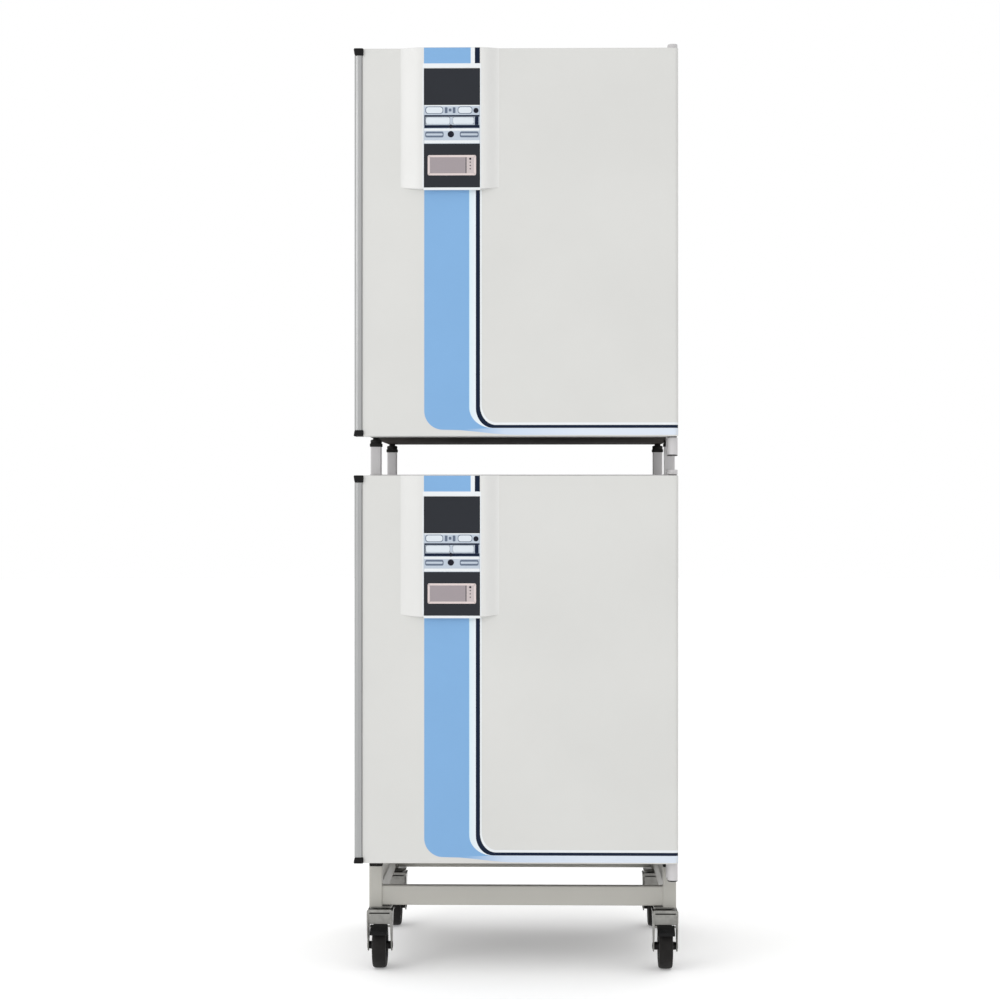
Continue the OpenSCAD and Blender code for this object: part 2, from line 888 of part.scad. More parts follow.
module display_windows(level) {
    y = [panel_face, panel_face + panel_t];
    color([0.12, 0.13, 0.15])
        in_unit(level) {
            block(panel_x, y, [keypad_z[1] + seam, window_top]);
            block(panel_x, y, [window_low, keypad_z[0] - seam]);
        }
}

module left_key_outline(grow) {
    block(grown(left_key_x, grow), [y_front, y_front + key_t], grown(key_row_z, grow));
}

module right_key_outline(grow) {
    block(grown(right_key_x, grow), [y_front, y_front + key_t], grown(key_row_z, grow));
}

module round_key_outline(grow) {
    rod_y(round_key_x, round_key_z, round_key_r + grow, [y_front, y_front + key_t]);
}

module keypad(level) {
    color([0.82, 0.87, 0.92])
        in_unit(level)
            difference() {
                block(panel_x, [panel_face, panel_face + panel_t], keypad_z);
                left_key_outline(key_gap);
                right_key_outline(key_gap);
                round_key_outline(key_gap);
            }
}

module left_key(level) {
    color([0.85, 0.89, 0.94])
        in_unit(level)
            left_key_outline(0);
}

module right_key(level) {
    color([0.85, 0.89, 0.94])
        in_unit(level)
            right_key_outline(0);
}

module round_key(level) {
    color([0.12, 0.12, 0.2])
        in_unit(level)
            round_key_outline(0);
}

// ---------------------------------------------------------------- glass door

module glass_door(level) {
    color([0.8, 0.9, 0.92, 0.4])
        in_unit(level)
            block(glass_x, glass_y, glass_z);
}

// Two hinge clamps on the front of the glass, and a pull knob
module glass_fittings(level) {
    plate_t = 2;
    front = [glass_y[0] - plate_t, glass_y[0]];
    color([0.7, 0.71, 0.72])
        in_unit(level) {
            for (z = glass_hinge_z)
                difference() {
                    union() {
                        block([glass_x[1] - 30, glass_hinge_x], front, [z + 0.3, z + glass_hinge_l]);
                        block(
                            [glass_x[1] + 0.3, glass_hinge_x], [front[0], glass_hinge_y - 1],
                            [z + 0.3, z + glass_hinge_l]
                        );
                        translate([glass_hinge_x, glass_hinge_y, z + 0.3])
                            cylinder(r = glass_knuckle_r, h = glass_hinge_l - 0.3);
                    }
                    translate([glass_hinge_x, glass_hinge_y, z - eps])
                        cylinder(r = glass_pin_r + running, h = glass_hinge_l + 2 * eps);
                }
            rod_y(knob_x, knob_z, 6, [glass_y[0] - 12, glass_y[0]]);
            rod_y(knob_x, knob_z, 15, [glass_y[0] - 20, glass_y[0] - 11]);
        }
}

// ---------------------------------------------------------------- drawing

roller_frame();
stacking_frame();
support_pads();
caster_plates();
casing(upper);  // upper_casing
casing(lower);  // lower_casing
chamber(upper);  // upper_chamber
chamber(lower);  // lower_chamber
cabinet_insulation();
rear_covers();
cabinet_feet();
hinge_brackets();
shelf_posts();
shelves();
fan_motors();
chamber_covers();
sensor_heads();
chamber_seals();
power_inlets();
rear_ports();
door_skin(upper);  // upper_door_skin
door_liner(upper);  // upper_door_liner
door_core(upper);  // upper_door_core
door_gasket(upper);  // upper_door_gasket
door_handle(upper);  // upper_door_handle
handle_caps(upper);  // upper_handle_caps
control_housing(upper);  // upper_control_housing
display_windows(upper);  // upper_display_windows
keypad(upper);  // upper_keypad
left_key(upper);  // upper_left_key
right_key(upper);  // upper_right_key
round_key(upper);  // upper_round_key
door_skin(lower);  // lower_door_skin
door_liner(lower);  // lower_door_liner
door_core(lower);  // lower_door_core
door_gasket(lower);  // lower_door_gasket
door_handle(lower);  // lower_door_handle
handle_caps(lower);  // lower_handle_caps
control_housing(lower);  // lower_control_housing
display_windows(lower);  // lower_display_windows
keypad(lower);  // lower_keypad
left_key(lower);  // lower_left_key
right_key(lower);  // lower_right_key
round_key(lower);  // lower_round_key
glass_door(upper);  // upper_glass_door
glass_fittings(upper);  // upper_glass_fittings
glass_door(lower);  // lower_glass_door
glass_fittings(lower);  // lower_glass_fittings
fan(upper);  // upper_fan
fan(lower);  // lower_fan
caster_fork(0, 0, true);  // caster_fork_fl
caster_fork(1, 0, true);  // caster_fork_fr
caster_fork(0, 1, false);  // caster_fork_rl
caster_fork(1, 1, false);  // caster_fork_rr
caster_wheel(0, 0);  // caster_wheel_fl
caster_wheel(1, 0);  // caster_wheel_fr
caster_wheel(0, 1);  // caster_wheel_rl
caster_wheel(1, 1);  // caster_wheel_rr
brake_lever(0, 0);  // brake_lever_fl
brake_lever(1, 0);  // brake_lever_fr
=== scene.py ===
"""Two laboratory incubators stacked on a roller base: the finished surfaces around the CAD frame.

Metres, +Z up. The doors face -Y, with their grips at -X and their hinges at +X.
Every piece is worked out as whole arrays of points, in place, and rides on one CAD body.
"""

import json
import math

import bmesh
import bpy
import numpy as np
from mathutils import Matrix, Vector


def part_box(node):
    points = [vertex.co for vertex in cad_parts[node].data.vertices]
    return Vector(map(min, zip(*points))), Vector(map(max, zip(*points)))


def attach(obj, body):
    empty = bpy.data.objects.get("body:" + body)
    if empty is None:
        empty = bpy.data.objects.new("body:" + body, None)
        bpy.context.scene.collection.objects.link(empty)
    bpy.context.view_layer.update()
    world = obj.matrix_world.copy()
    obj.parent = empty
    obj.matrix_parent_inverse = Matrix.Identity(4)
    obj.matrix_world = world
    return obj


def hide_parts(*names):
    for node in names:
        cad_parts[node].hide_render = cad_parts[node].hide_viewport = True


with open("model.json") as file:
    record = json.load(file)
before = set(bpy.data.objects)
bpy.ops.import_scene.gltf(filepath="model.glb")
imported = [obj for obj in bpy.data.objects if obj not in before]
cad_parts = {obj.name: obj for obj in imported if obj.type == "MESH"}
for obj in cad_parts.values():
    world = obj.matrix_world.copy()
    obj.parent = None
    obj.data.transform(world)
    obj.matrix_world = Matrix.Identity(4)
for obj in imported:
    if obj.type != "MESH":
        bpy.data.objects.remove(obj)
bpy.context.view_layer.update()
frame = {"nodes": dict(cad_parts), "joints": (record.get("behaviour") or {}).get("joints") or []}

MM = 0.001
REFLECTED = 0.855   # share of a display tone that a surface reflects in this bright white room
TAU = 2 * math.pi
LEVELS = ("lower", "upper")
CORNERS = ("fl", "fr", "rl", "rr")


# ------------------------------------------------------------------ shapes
# A shape is (points, faces): an array of places and a list of faces that name them.


def span(node):
    """The lowest and the highest corner of a CAD node, as arrays."""
    low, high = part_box(node)
    return np.array(low), np.array(high)


def skin(rings, loop=False, caps=True):
    """The surface through closed outlines: neighbouring points of neighbouring rings make quads.
    loop joins the last ring to the first; otherwise the end rings are closed by their own outlines."""
    rows, count, _ = rings.shape
    last = rows if loop else rows - 1
    i, j = np.meshgrid(np.arange(last), np.arange(count), indexing="ij")
    up, along = (i + 1) % rows, (j + 1) % count
    quads = np.stack([i * count + j, i * count + along, up * count + along, up * count + j], -1)
    faces = quads.reshape(-1, 4).tolist()
    if caps and not loop:
        faces.append(list(range(count))[::-1])
        faces.append(list(range((rows - 1) * count, rows * count)))
    return rings.reshape(-1, 3), faces


def thick_sheet(front, back, keep=None):
    """A closed sheet between two grids of places: the quads of both grids where keep is true, and a
    wall wherever one of those has no kept neighbour, at the rim and round every hole."""
    rows, count, _ = front.shape
    if keep is None:
        keep = np.ones((rows - 1, count - 1), bool)
    index = np.arange(rows * count).reshape(rows, count)
    shift = rows * count
    corners = [index[:-1, :-1], index[:-1, 1:], index[1:, 1:], index[1:, :-1]]
    beyond = np.pad(keep, 1)
    beside = [beyond[:-2, 1:-1], beyond[1:-1, 2:], beyond[2:, 1:-1], beyond[1:-1, :-2]]
    quads = np.stack(corners, -1)[keep]
    faces = [quads, quads[:, ::-1] + shift]
    for here, there, neighbour in zip(corners, corners[1:] + corners[:1], beside):
        bare = keep & ~neighbour
        a, b = here[bare], there[bare]
        faces.append(np.stack([b, a, a + shift, b + shift], -1))
    used, names = np.unique(np.concatenate(faces), return_inverse=True)
    return np.r_[front.reshape(-1, 3), back.reshape(-1, 3)][used], names.reshape(-1, 4).tolist()


def merged(shape):
    """A shape whose points at the same place are one point, with no face left that has lost its area."""
    cells = np.round(shape[0] / (2e-3 * MM)).astype(np.int64)
    _, first, back = np.unique(cells, axis=0, return_index=True, return_inverse=True)
    back = back.ravel()
    faces = [list(dict.fromkeys(back[face].tolist())) for face in shape[1]]
    return shape[0][first], [face for face in faces if len(face) > 2]


def joined(shapes):
    """Several shapes as one."""
    points, faces, start = [], [], 0
    for shape_points, shape_faces in shapes:
        points.append(shape_points)
        faces += [[k + start for k in face] for face in shape_faces]
        start += len(shape_points)
    return np.concatenate(points), faces


def moved(shape, offset):
    """A shape shifted by an offset."""
    return shape[0] + np.asarray(offset), shape[1]


def turned_by(shape, angle, centre, axis):
    """A shape turned by an angle round an axis (0, 1 or 2) through a centre."""
    u, v = (axis + 1) % 3, (axis + 2) % 3
    points = shape[0] - np.asarray(centre)
    result = points.copy()
    result[:, u] = math.cos(angle) * points[:, u] - math.sin(angle) * points[:, v]
    result[:, v] = math.sin(angle) * points[:, u] + math.cos(angle) * points[:, v]
    return result + np.asarray(centre), shape[1]


def placed(flat, level, axis):
    """Flat places (n by 2) put at a level along an axis; the flat directions keep their cyclic order."""
    u, v = (axis + 1) % 3, (axis + 2) % 3
    points = np.zeros(flat.shape[:-1] + (3,))
    points[..., u] = flat[..., 0]
    points[..., v] = flat[..., 1]
    points[..., axis] = level
    return points


def round_rect(low, high, radius, steps=5):
    """A rectangle between two corners, each corner a quarter circle: radius is one number, or four from
    the far corner round by the first direction's low side."""
    low, high = np.asarray(low, float), np.asarray(high, float)
    radius = np.minimum(np.broadcast_to(radius, 4), 0.499 * float(min(high - low)))[:, None]
    angle = np.linspace(0, math.pi / 2, steps + 1) + np.arange(4)[:, None] * math.pi / 2
    right = np.array([1, 0, 0, 1])[:, None]
    top = np.array([1, 1, 0, 0])[:, None]
    x = np.where(right, high[0] - radius, low[0] + radius) + radius * np.cos(angle)
    y = np.where(top, high[1] - radius, low[1] + radius) + radius * np.sin(angle)
    return np.stack([x.ravel(), y.ravel()], -1)


def even_circle(radius, count):
    """Evenly spaced flat places round the origin, starting along the first direction."""
    angle = np.arange(count) * TAU / count
    return radius * np.stack([np.cos(angle), np.sin(angle)], -1)


def flat_axes(axis, point):
    """The two coordinates of a point across an axis, in the order that placed() takes."""
    return np.array([point[(axis + 1) % 3], point[(axis + 2) % 3]])


def block(low, high, radius=1.5 * MM, edge=1 * MM, axis=2, steps=4):
    """A block with round corners along one axis; its ends roll over a quarter circle of radius edge:
    at an angle the outline is drawn in by edge(1 - sin angle) at edge(1 - cos angle) from the end."""
    low, high = np.asarray(low, float), np.asarray(high, float)
    angle = np.linspace(0, math.pi / 2, 4)
    inset, rise = edge * (1 - np.sin(angle)), edge * (1 - np.cos(angle))
    insets = np.r_[inset, inset[::-1]]
    places = np.r_[low[axis] + rise, high[axis] - rise[::-1]]
    flat_low, flat_high = flat_axes(axis, low), flat_axes(axis, high)
    rings = [
        placed(round_rect(flat_low + draw, flat_high - draw, np.maximum(radius - draw, 0.1 * MM), steps),
               place, axis)
        for draw, place in zip(insets, places)
    ]
    return skin(np.stack(rings))


def prism(outline, ends, axis):
    """An outline carried straight from one end to the other along an axis."""
    outline = np.asarray(outline, float)
    return skin(np.stack([placed(outline, end, axis) for end in ends]))


def ring_prism(outer, inner, ends, axis):
    """The space between two outlines of as many points each, carried from one end to the other."""
    rings = [(outer, ends[0]), (outer, ends[1]), (inner, ends[1]), (inner, ends[0])]
    return skin(np.stack([placed(outline, end, axis) for outline, end in rings]), loop=True)


def hollow(low, high, wall, radius, axis):
    """A square tube along an axis, with round corners outside and inside."""
    flat_low, flat_high = flat_axes(axis, low), flat_axes(axis, high)
    outer = round_rect(flat_low, flat_high, radius)
    inner = round_rect(flat_low + wall, flat_high - wall, max(radius - wall, 0.3 * MM))
    return ring_prism(outer, inner, (low[axis], high[axis]), axis)


def turned(profile, centre, axis, count=40, ring=False):
    """A profile of (radius, place along the axis) turned round the axis through the centre.
    A profile that starts and ends on the axis closes itself; ring joins its last point to its first."""
    profile = np.asarray(profile, float)
    flat = profile[:, :1, None] * even_circle(1, count)[None]
    points = placed(flat, profile[:, 1:2], axis) + np.asarray(centre)
    return merged(skin(points, loop=ring, caps=False))


def loop_path(low, high, radius, steps=6):
    """A closed rectangular path with round corners, and the outward direction at each point of it."""
    path = round_rect(low, high, radius, steps)
    along = np.roll(path, -1, 0) - np.roll(path, 1, 0)
    along /= np.linalg.norm(along, axis=1, keepdims=True)
    return path, np.stack([along[:, 1], -along[:, 0]], -1)


def carried(profile, path, outward, axis):
    """A closed profile of (outward, place along the axis) carried round a closed flat path."""
    profile = np.asarray(profile, float)
    flat = path[:, None] + outward[:, None] * profile[None, :, :1]
    points = placed(flat, np.broadcast_to(profile[None, :, 1], flat.shape[:2]), axis)
    return skin(points, loop=True)


def rod(start, end, radius, axis, edge=0.5 * MM, count=32):
    """A round bar along an axis whose ends are chamfered by edge."""
    low, high = start[axis], end[axis]
    centre = np.array(start, float)
    centre[axis] = 0
    profile = [(0, low), (radius - edge, low), (radius, low + edge),
               (radius, high - edge), (radius - edge, high), (0, high)]
    return turned(profile, centre, axis, count)


def pan_screw(centre, radius, axis, sign):
    """A domed screw head round a flat recess, turned from its profile; sign is the way it faces."""
    out = radius * np.array([0, 0.3, 0.36, 0.62, 0.85, 0.97, 1.0, 1.0, 0])
    height = radius * np.array([0.1, 0.1, 0.5, 0.46, 0.34, 0.2, 0.08, -0.3, -0.3])
    return turned(np.stack([out, sign * height], -1), centre, axis, 20)


# ------------------------------------------------------------------ making pieces


def piece(name, parts, body, replaces=(), bevel=0.0, sharp=38):
    """Makes one piece from (shape, material) pairs, riding on a body. Edges sharper than an angle of
    sharp degrees stay crisp, and bevel rounds them finely."""
    points, faces = joined([shape for shape, _ in parts])
    marks = np.repeat(np.arange(len(parts)), [len(shape[1]) for shape, _ in parts])
    mesh = bpy.data.meshes.new(name)
    mesh.from_pydata(points.tolist(), [], faces)
    for _, material in parts:
        mesh.materials.append(material)
    mesh.polygons.foreach_set("material_index", marks.tolist())
    work = bmesh.new()
    work.from_mesh(mesh)
    bmesh.ops.recalc_face_normals(work, faces=work.faces)
    work.to_mesh(mesh)
    work.free()
    mesh.polygons.foreach_set("use_smooth", [True] * len(mesh.polygons))
    mesh.set_sharp_from_angle(angle=math.radians(sharp))
    made = bpy.data.objects.new(name, mesh)
    bpy.context.scene.collection.objects.link(made)
    if bevel:
        edge = made.modifiers.new("fine_edge", "BEVEL")
        edge.width = bevel
        edge.segments = 2
        edge.limit_method = "ANGLE"
        edge.angle_limit = math.radians(sharp)
        edge.harden_normals = True
    flats = made.modifiers.new("flat_faces", "WEIGHTED_NORMAL")
    flats.keep_sharp = True
    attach(made, body)
    if replaces:
        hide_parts(*replaces)


def dress(node, material):
    """Gives a CAD node that stays in view its own finish."""
    for slot in frame["nodes"][node].material_slots:
        slot.material = material


# ------------------------------------------------------------------ materials


def tone(red, green, blue):
    """Display values from 0 to 255 as the linear colour that a shader takes under this light."""
    value = np.array([red, green, blue]) / 255
    linear = np.where(value <= 0.04045, value / 12.92, ((value + 0.055) / 1.055) ** 2.4)
    return (*(REFLECTED * linear).tolist(), 1.0)


def scaled(shade, factor):
    """A colour made lighter or darker by a factor."""
    return tuple(min(1.0, channel * factor) for channel in shade[:3]) + (1.0,)


class Finish:
    """A material under construction: its shader, and patterns on Object coordinates."""

    def __init__(self, name, rough, metal=0.0, **fixed):
        self.material = bpy.data.materials.new(name)
        self.material.use_nodes = True
        self.tree = self.material.node_tree
        self.shader = self.tree.nodes["Principled BSDF"]
        self.shader.inputs["Roughness"].default_value = rough
        self.shader.inputs["Metallic"].default_value = metal
        for socket, value in fixed.items():
            self.shader.inputs[socket.replace("_", " ")].default_value = value
        self.place = self.tree.nodes.new("ShaderNodeTexCoord").outputs["Object"]

    def node(self, kind, settings=(), **inputs):
        """A node with its settings, and its inputs set or linked by name."""
        made = self.tree.nodes.new(kind)
        for key, value in dict(settings).items():
            setattr(made, key, value)
        for key, value in inputs.items():
            socket = made.inputs[key]
            if isinstance(value, bpy.types.NodeSocket):
                self.tree.links.new(value, socket)
            else:
                socket.default_value = value
        return made

    def noise(self, scale, detail=3.0, stretch=None):
        """Smooth noise from 0 to 1 with a grain size of about 1/scale metres, stretched if asked."""
        where = self.place
        if stretch:
            where = self.node("ShaderNodeMapping", Vector=self.place, Scale=stretch).outputs[0]
        return self.node("ShaderNodeTexNoise", Vector=where, Scale=scale, Detail=detail).outputs[0]

    def ranged(self, value, low, high, start=0.3, end=0.7):
        """A value from start to end turned into low to high."""
        limits = {"From Min": start, "From Max": end, "To Min": low, "To Max": high}
        return self.node("ShaderNodeMapRange", Value=value, **limits).outputs[0]

    def colour(self, value, *stops):
        """Colours the base from a value, through (position, colour) stops."""
        ramp = self.node("ShaderNodeValToRGB", Fac=value)
        elements = ramp.color_ramp.elements
        while len(elements) < len(stops):
            elements.new(0.5)
        for element, (position, shade) in zip(elements, stops):
            element.position = position
            element.color = shade
        self.tree.links.new(ramp.outputs[0], self.shader.inputs["Base Color"])
        return self

    def mottle(self, shade, spread, scale, detail=4.0, stretch=None):
        """The base colour drifts a little lighter and darker over the surface."""
        dark, light = scaled(shade, 1 - spread), scaled(shade, 1 + spread)
        return self.colour(self.noise(scale, detail, stretch), (0.35, dark), (0.65, light))

    def uneven(self, low, high, scale, detail=4.0, stretch=None):
        """Roughness wanders between two values."""
        value = self.ranged(self.noise(scale, detail, stretch), low, high)
        self.tree.links.new(value, self.shader.inputs["Roughness"])
        return self

    def relief(self, height, strength, distance):
        """Bump from a height value, over any bump that is already there."""
        bump = self.node("ShaderNodeBump", Height=height, Strength=strength, Distance=distance)
        current = self.shader.inputs["Normal"]
        if current.is_linked:
            self.tree.links.new(current.links[0].from_socket, bump.inputs["Normal"])
        self.tree.links.new(bump.outputs[0], current)
        return self

    def waves(self, scale, direction):
        """Even ripples across one direction (X, Y or Z)."""
        settings = {"wave_type": "BANDS", "bands_direction": direction}
        inputs = {"Vector": self.place, "Scale": scale, "Distortion": 0.0, "Detail": 0.0}
        return self.node("ShaderNodeTexWave", settings, **inputs).outputs[1]

    def cells(self, scale):
        """Distance to the nearest of scattered points, for pores and grains."""
        return self.node("ShaderNodeTexVoronoi", Vector=self.place, Scale=scale).outputs[0]


def powder_coat(name, shade, rough=0.42, gloss=0.45):
    """Baked paint: fine orange peel, a slow drift of tone, and a little more gloss where it is thick."""
    paint = Finish(name, rough, Specular_IOR_Level=gloss)
    paint.mottle(shade, 0.018, 3.0, 5.0).uneven(rough - 0.05, rough + 0.06, 9.0)
    paint.relief(paint.noise(420.0, 2.0), 0.10, 0.0006)
    return paint.material


def brushed_steel(name, shade, stretch, rough=0.36):
    """Stainless sheet: hair lines along one direction in tone, roughness and height."""
    steel = Finish(name, rough, 0.9)
    steel.mottle(shade, 0.05, 1.0, 3.0, stretch)
    steel.uneven(rough - 0.07, rough + 0.12, 1.0, 4.0, stretch)
    steel.relief(steel.noise(1.0, 2.0, stretch), 0.12, 0.0003)
    return steel.material


def zinc_plate(name, shade, rough=0.36):
    """Zinc-plated pressings: cloudy crystals and small scuffs."""
    zinc = Finish(name, rough, 0.85)
    zinc.mottle(shade, 0.12, 60.0, 5.0).uneven(rough - 0.08, rough + 0.14, 35.0)
    zinc.relief(zinc.cells(900.0), 0.08, 0.0003)
    return zinc.material


def moulded(name, shade, rough=0.5, grain=1400.0, spread=0.05):
    """Moulded plastic with a fine spark-eroded grain."""
    plastic = Finish(name, rough, Specular_IOR_Level=0.2)
    plastic.mottle(shade, spread, 14.0).uneven(rough - 0.06, rough + 0.08, 40.0)
    plastic.relief(plastic.noise(grain, 3.0), 0.18, 0.0003)
    return plastic.material


def rubber(name, shade, rough=0.78):
    """Soft rubber: dull, dusty in patches, with a fine pebble."""
    soft = Finish(name, rough, Specular_IOR_Level=0.2, Sheen_Weight=0.05, Sheen_Roughness=0.5)
    soft.mottle(shade, 0.16, 26.0, 6.0).uneven(rough - 0.1, min(0.95, rough + 0.1), 50.0)
    soft.relief(soft.cells(1100.0), 0.2, 0.0004)
    return soft.material


def bare_film(name, rough=0.3):
    """Foil under a satin coat with a faint texture, before it has a colour."""
    film = Finish(name, rough, Specular_IOR_Level=0.15)
    return film.relief(film.noise(900.0, 2.0), 0.06, 0.0003)


def printed_film(name, shade, rough=0.3):
    """Foil printed in one even colour."""
    return bare_film(name, rough).mottle(shade, 0.012, 5.0).material


def fading_film(name, near, far, x_near, x_far):
    """Foil whose print fades from one colour to another across the door, most of it in the first third."""
    film = bare_film(name)
    across = film.node("ShaderNodeSeparateXYZ", Vector=film.place).outputs[0]
    share = film.ranged(across, 0.0, 1.0, x_near, x_far)
    middle = tuple((first + 3 * last) / 4 for first, last in zip(near, far))
    return film.colour(share, (0.0, near), (0.35, middle), (1.0, far)).material


def smoked_glass(name, shade, rough=0.08):
    """Display window: dark, glossy, with a trace of smear in its gloss."""
    glass = Finish(name, rough, Specular_IOR_Level=0.3)
    glass.mottle(shade, 0.06, 8.0).uneven(rough - 0.03, rough + 0.07, 14.0, 6.0)
    return glass.material


def liquid_crystal(name, shade):
    """Unlit screen: a very fine grid of rows and columns under a dull polariser."""
    screen = Finish(name, 0.35)
    rows = screen.waves(420.0, "Z")
    screen.colour(rows, (0.0, scaled(shade, 0.94)), (1.0, shade))
    screen.relief(screen.waves(420.0, "X"), 0.04, 0.0001)
    return screen.material


def clear_pane(name):
    """Clear safety glass with a faint green body and a trace of handling marks."""
    pane = Finish(name, 0.02, Transmission_Weight=1.0, IOR=1.5)
    pane.mottle((0.93, 0.975, 0.96, 1.0), 0.01, 2.0)
    pane.uneven(0.01, 0.06, 6.0, 6.0)
    return pane.material


def cut_foam(name, shade):
    """Rigid foam where it was cut: open cells in tone and height."""
    foam = Finish(name, 0.9)
    cells = foam.cells(500.0)
    foam.colour(cells, (0.0, scaled(shade, 0.75)), (0.6, shade))
    foam.relief(cells, 0.5, 0.001)
    return foam.material


def anodised(name, shade):
    """Extruded and anodised aluminium: die lines along its length, satin."""
    metal = Finish(name, 0.34, 0.55)
    metal.mottle(shade, 0.035, 1.0, 3.0, (900.0, 900.0, 6.0))
    metal.uneven(0.27, 0.42, 1.0, 3.0, (700.0, 700.0, 5.0))
    metal.relief(metal.noise(1.0, 2.0, (1200.0, 1200.0, 4.0)), 0.1, 0.0002)
    return metal.material


DOOR_PAINT = powder_coat("door_paint", tone(222, 222, 219), 0.40)
CASING_PAINT = powder_coat("casing_paint", tone(219, 219, 215), 0.45)
# painted highlight: the housing's paint is lighter than the door's to stand for the light on its swelling
# flanks
LIT_HOUSING_PAINT = powder_coat("housing_paint", tone(230, 230, 228), 0.34)
FRAME_PAINT = powder_coat("frame_paint", tone(190, 188, 181), 0.42)
POST_PAINT = powder_coat("post_paint", tone(212, 210, 211), 0.42)
# painted shade: the base pans under the cabinets are coloured dark brown to stand for the shade there
SHADE_PAINTED_UNDERSIDE = powder_coat("underside_paint", tone(40, 32, 26), 0.8, 0.05)
STAINLESS = brushed_steel("stainless", tone(206, 208, 208), (6.0, 500.0, 500.0))
STAINLESS_UP = brushed_steel("stainless_upright", tone(206, 208, 208), (500.0, 500.0, 6.0))
FORK_STEEL = zinc_plate("caster_steel", tone(158, 157, 153))
BOLT_STEEL = zinc_plate("bolt_steel", tone(186, 186, 184), 0.28)
FOAM = cut_foam("foam", tone(232, 220, 180))
PAD_RUBBER = rubber("pad_rubber", tone(34, 33, 32))
TYRE_RUBBER = rubber("tyre_rubber", tone(28, 26, 25), 0.7)
GASKET = rubber("gasket_rubber", tone(172, 174, 175), 0.6)
SILICONE = rubber("silicone", tone(226, 226, 222), 0.5)
GRIP_METAL = anodised("grip_metal", tone(176, 177, 177))
CAP_BLACK = moulded("cap_black", tone(10, 10, 11), 0.42)
HUB_BLACK = moulded("hub_black", tone(26, 25, 25), 0.5)
LINER_PLASTIC = moulded("liner_plastic", tone(224, 226, 226), 0.45, 700.0, 0.015)
WHITE_PLASTIC = moulded("white_plastic", tone(233, 233, 229), 0.45, 900.0, 0.015)
MOTOR_BLACK = moulded("motor_black", tone(52, 54, 57), 0.55, 600.0)
FAN_ALLOY = zinc_plate("fan_alloy", tone(196, 199, 202), 0.32)
BLUE_FILM = printed_film("blue_film", tone(134, 180, 226))
NAVY_FILM = printed_film("navy_film", tone(8, 26, 52))
WHITE_FILM = printed_film("white_film", tone(240, 244, 247))
ICE_FILM = fading_film("ice_film", tone(202, 236, 250), tone(235, 244, 250), -0.116, -0.1)
BAND_FILM = fading_film("band_film", tone(134, 180, 226), tone(226, 235, 247), -0.13, 0.16)
DISPLAY_GLASS = smoked_glass("display_glass", tone(30, 34, 42))
SCREEN = liquid_crystal("screen", tone(164, 154, 158))
SCREEN_SIDE = liquid_crystal("screen_side", tone(206, 194, 194))
SCREEN_FRAME = moulded("screen_frame", tone(228, 214, 212), 0.4, 900.0, 0.02)
KEYPAD_FILM = printed_film("keypad_film", tone(196, 207, 220))
KEY_PALE = printed_film("key_pale", tone(226, 234, 241), 0.4)
KEY_DARK = printed_film("key_dark", tone(24, 26, 40), 0.3)
LEGEND = printed_film("legend", tone(106, 118, 138), 0.35)
CLEAR_GLASS = clear_pane("clear_glass")


# ------------------------------------------------------------------ places, from the frame

DOOR_LOW, DOOR_HIGH = span("lower_door_skin")
FACE_Y = DOOR_LOW[1]
EDGE_R = 10 * MM      # round edge of the door on its hinge side
FOLD_R = 2.5 * MM     # fold radius on its other edges
FILM_T = 0.3 * MM
SHEET = 1.5 * MM      # folded steel of the doors and the cabinets
SEAM = 0.2 * MM       # gap between neighbouring parts
PIN_R, BUSH_R = 6 * MM, 6.1 * MM
PANEL_LOW, PANEL_HIGH = span("lower_keypad")
HOUSING_LOW, HOUSING_HIGH = span("lower_control_housing")
WINDOW_LOW, WINDOW_HIGH = span("lower_display_windows")
UNIT_Z = {level: span(f"{level}_door_skin")[0][2] for level in LEVELS}
UNIT_H = DOOR_HIGH[2] - DOOR_LOW[2]
HINGE = {j["name"]: np.array(j["pos_m"]) for j in frame["joints"] if j["type"] == "hinge"}


def in_unit(z, level):
    """A height within one cabinet as a height in the whole stack."""
    return UNIT_Z[level] + z


# ------------------------------------------------------------------ outer door


def door_face(x):
    """Depth of the door's front at x: flat, then a quarter circle down to the hinge side."""
    over = np.clip(x - (DOOR_HIGH[0] - EDGE_R), 0, EDGE_R)
    return FACE_Y + EDGE_R - np.sqrt(np.maximum(EDGE_R**2 - over**2, 0))


PLAN_STEPS = 6        # straight pieces in each corner of the door's plan


def door_plan(inset):
    """The door from above: a rectangle with a round hinge edge and a folded grip edge, drawn in."""
    low = np.array([DOOR_LOW[0], FACE_Y]) + inset
    high = DOOR_HIGH[:2] - [inset, 0]
    radii = np.array([0.3 * MM, 0.3 * MM, FOLD_R, EDGE_R])
    return round_rect(low, high, np.maximum(radii - inset, 0.1 * MM), PLAN_STEPS)


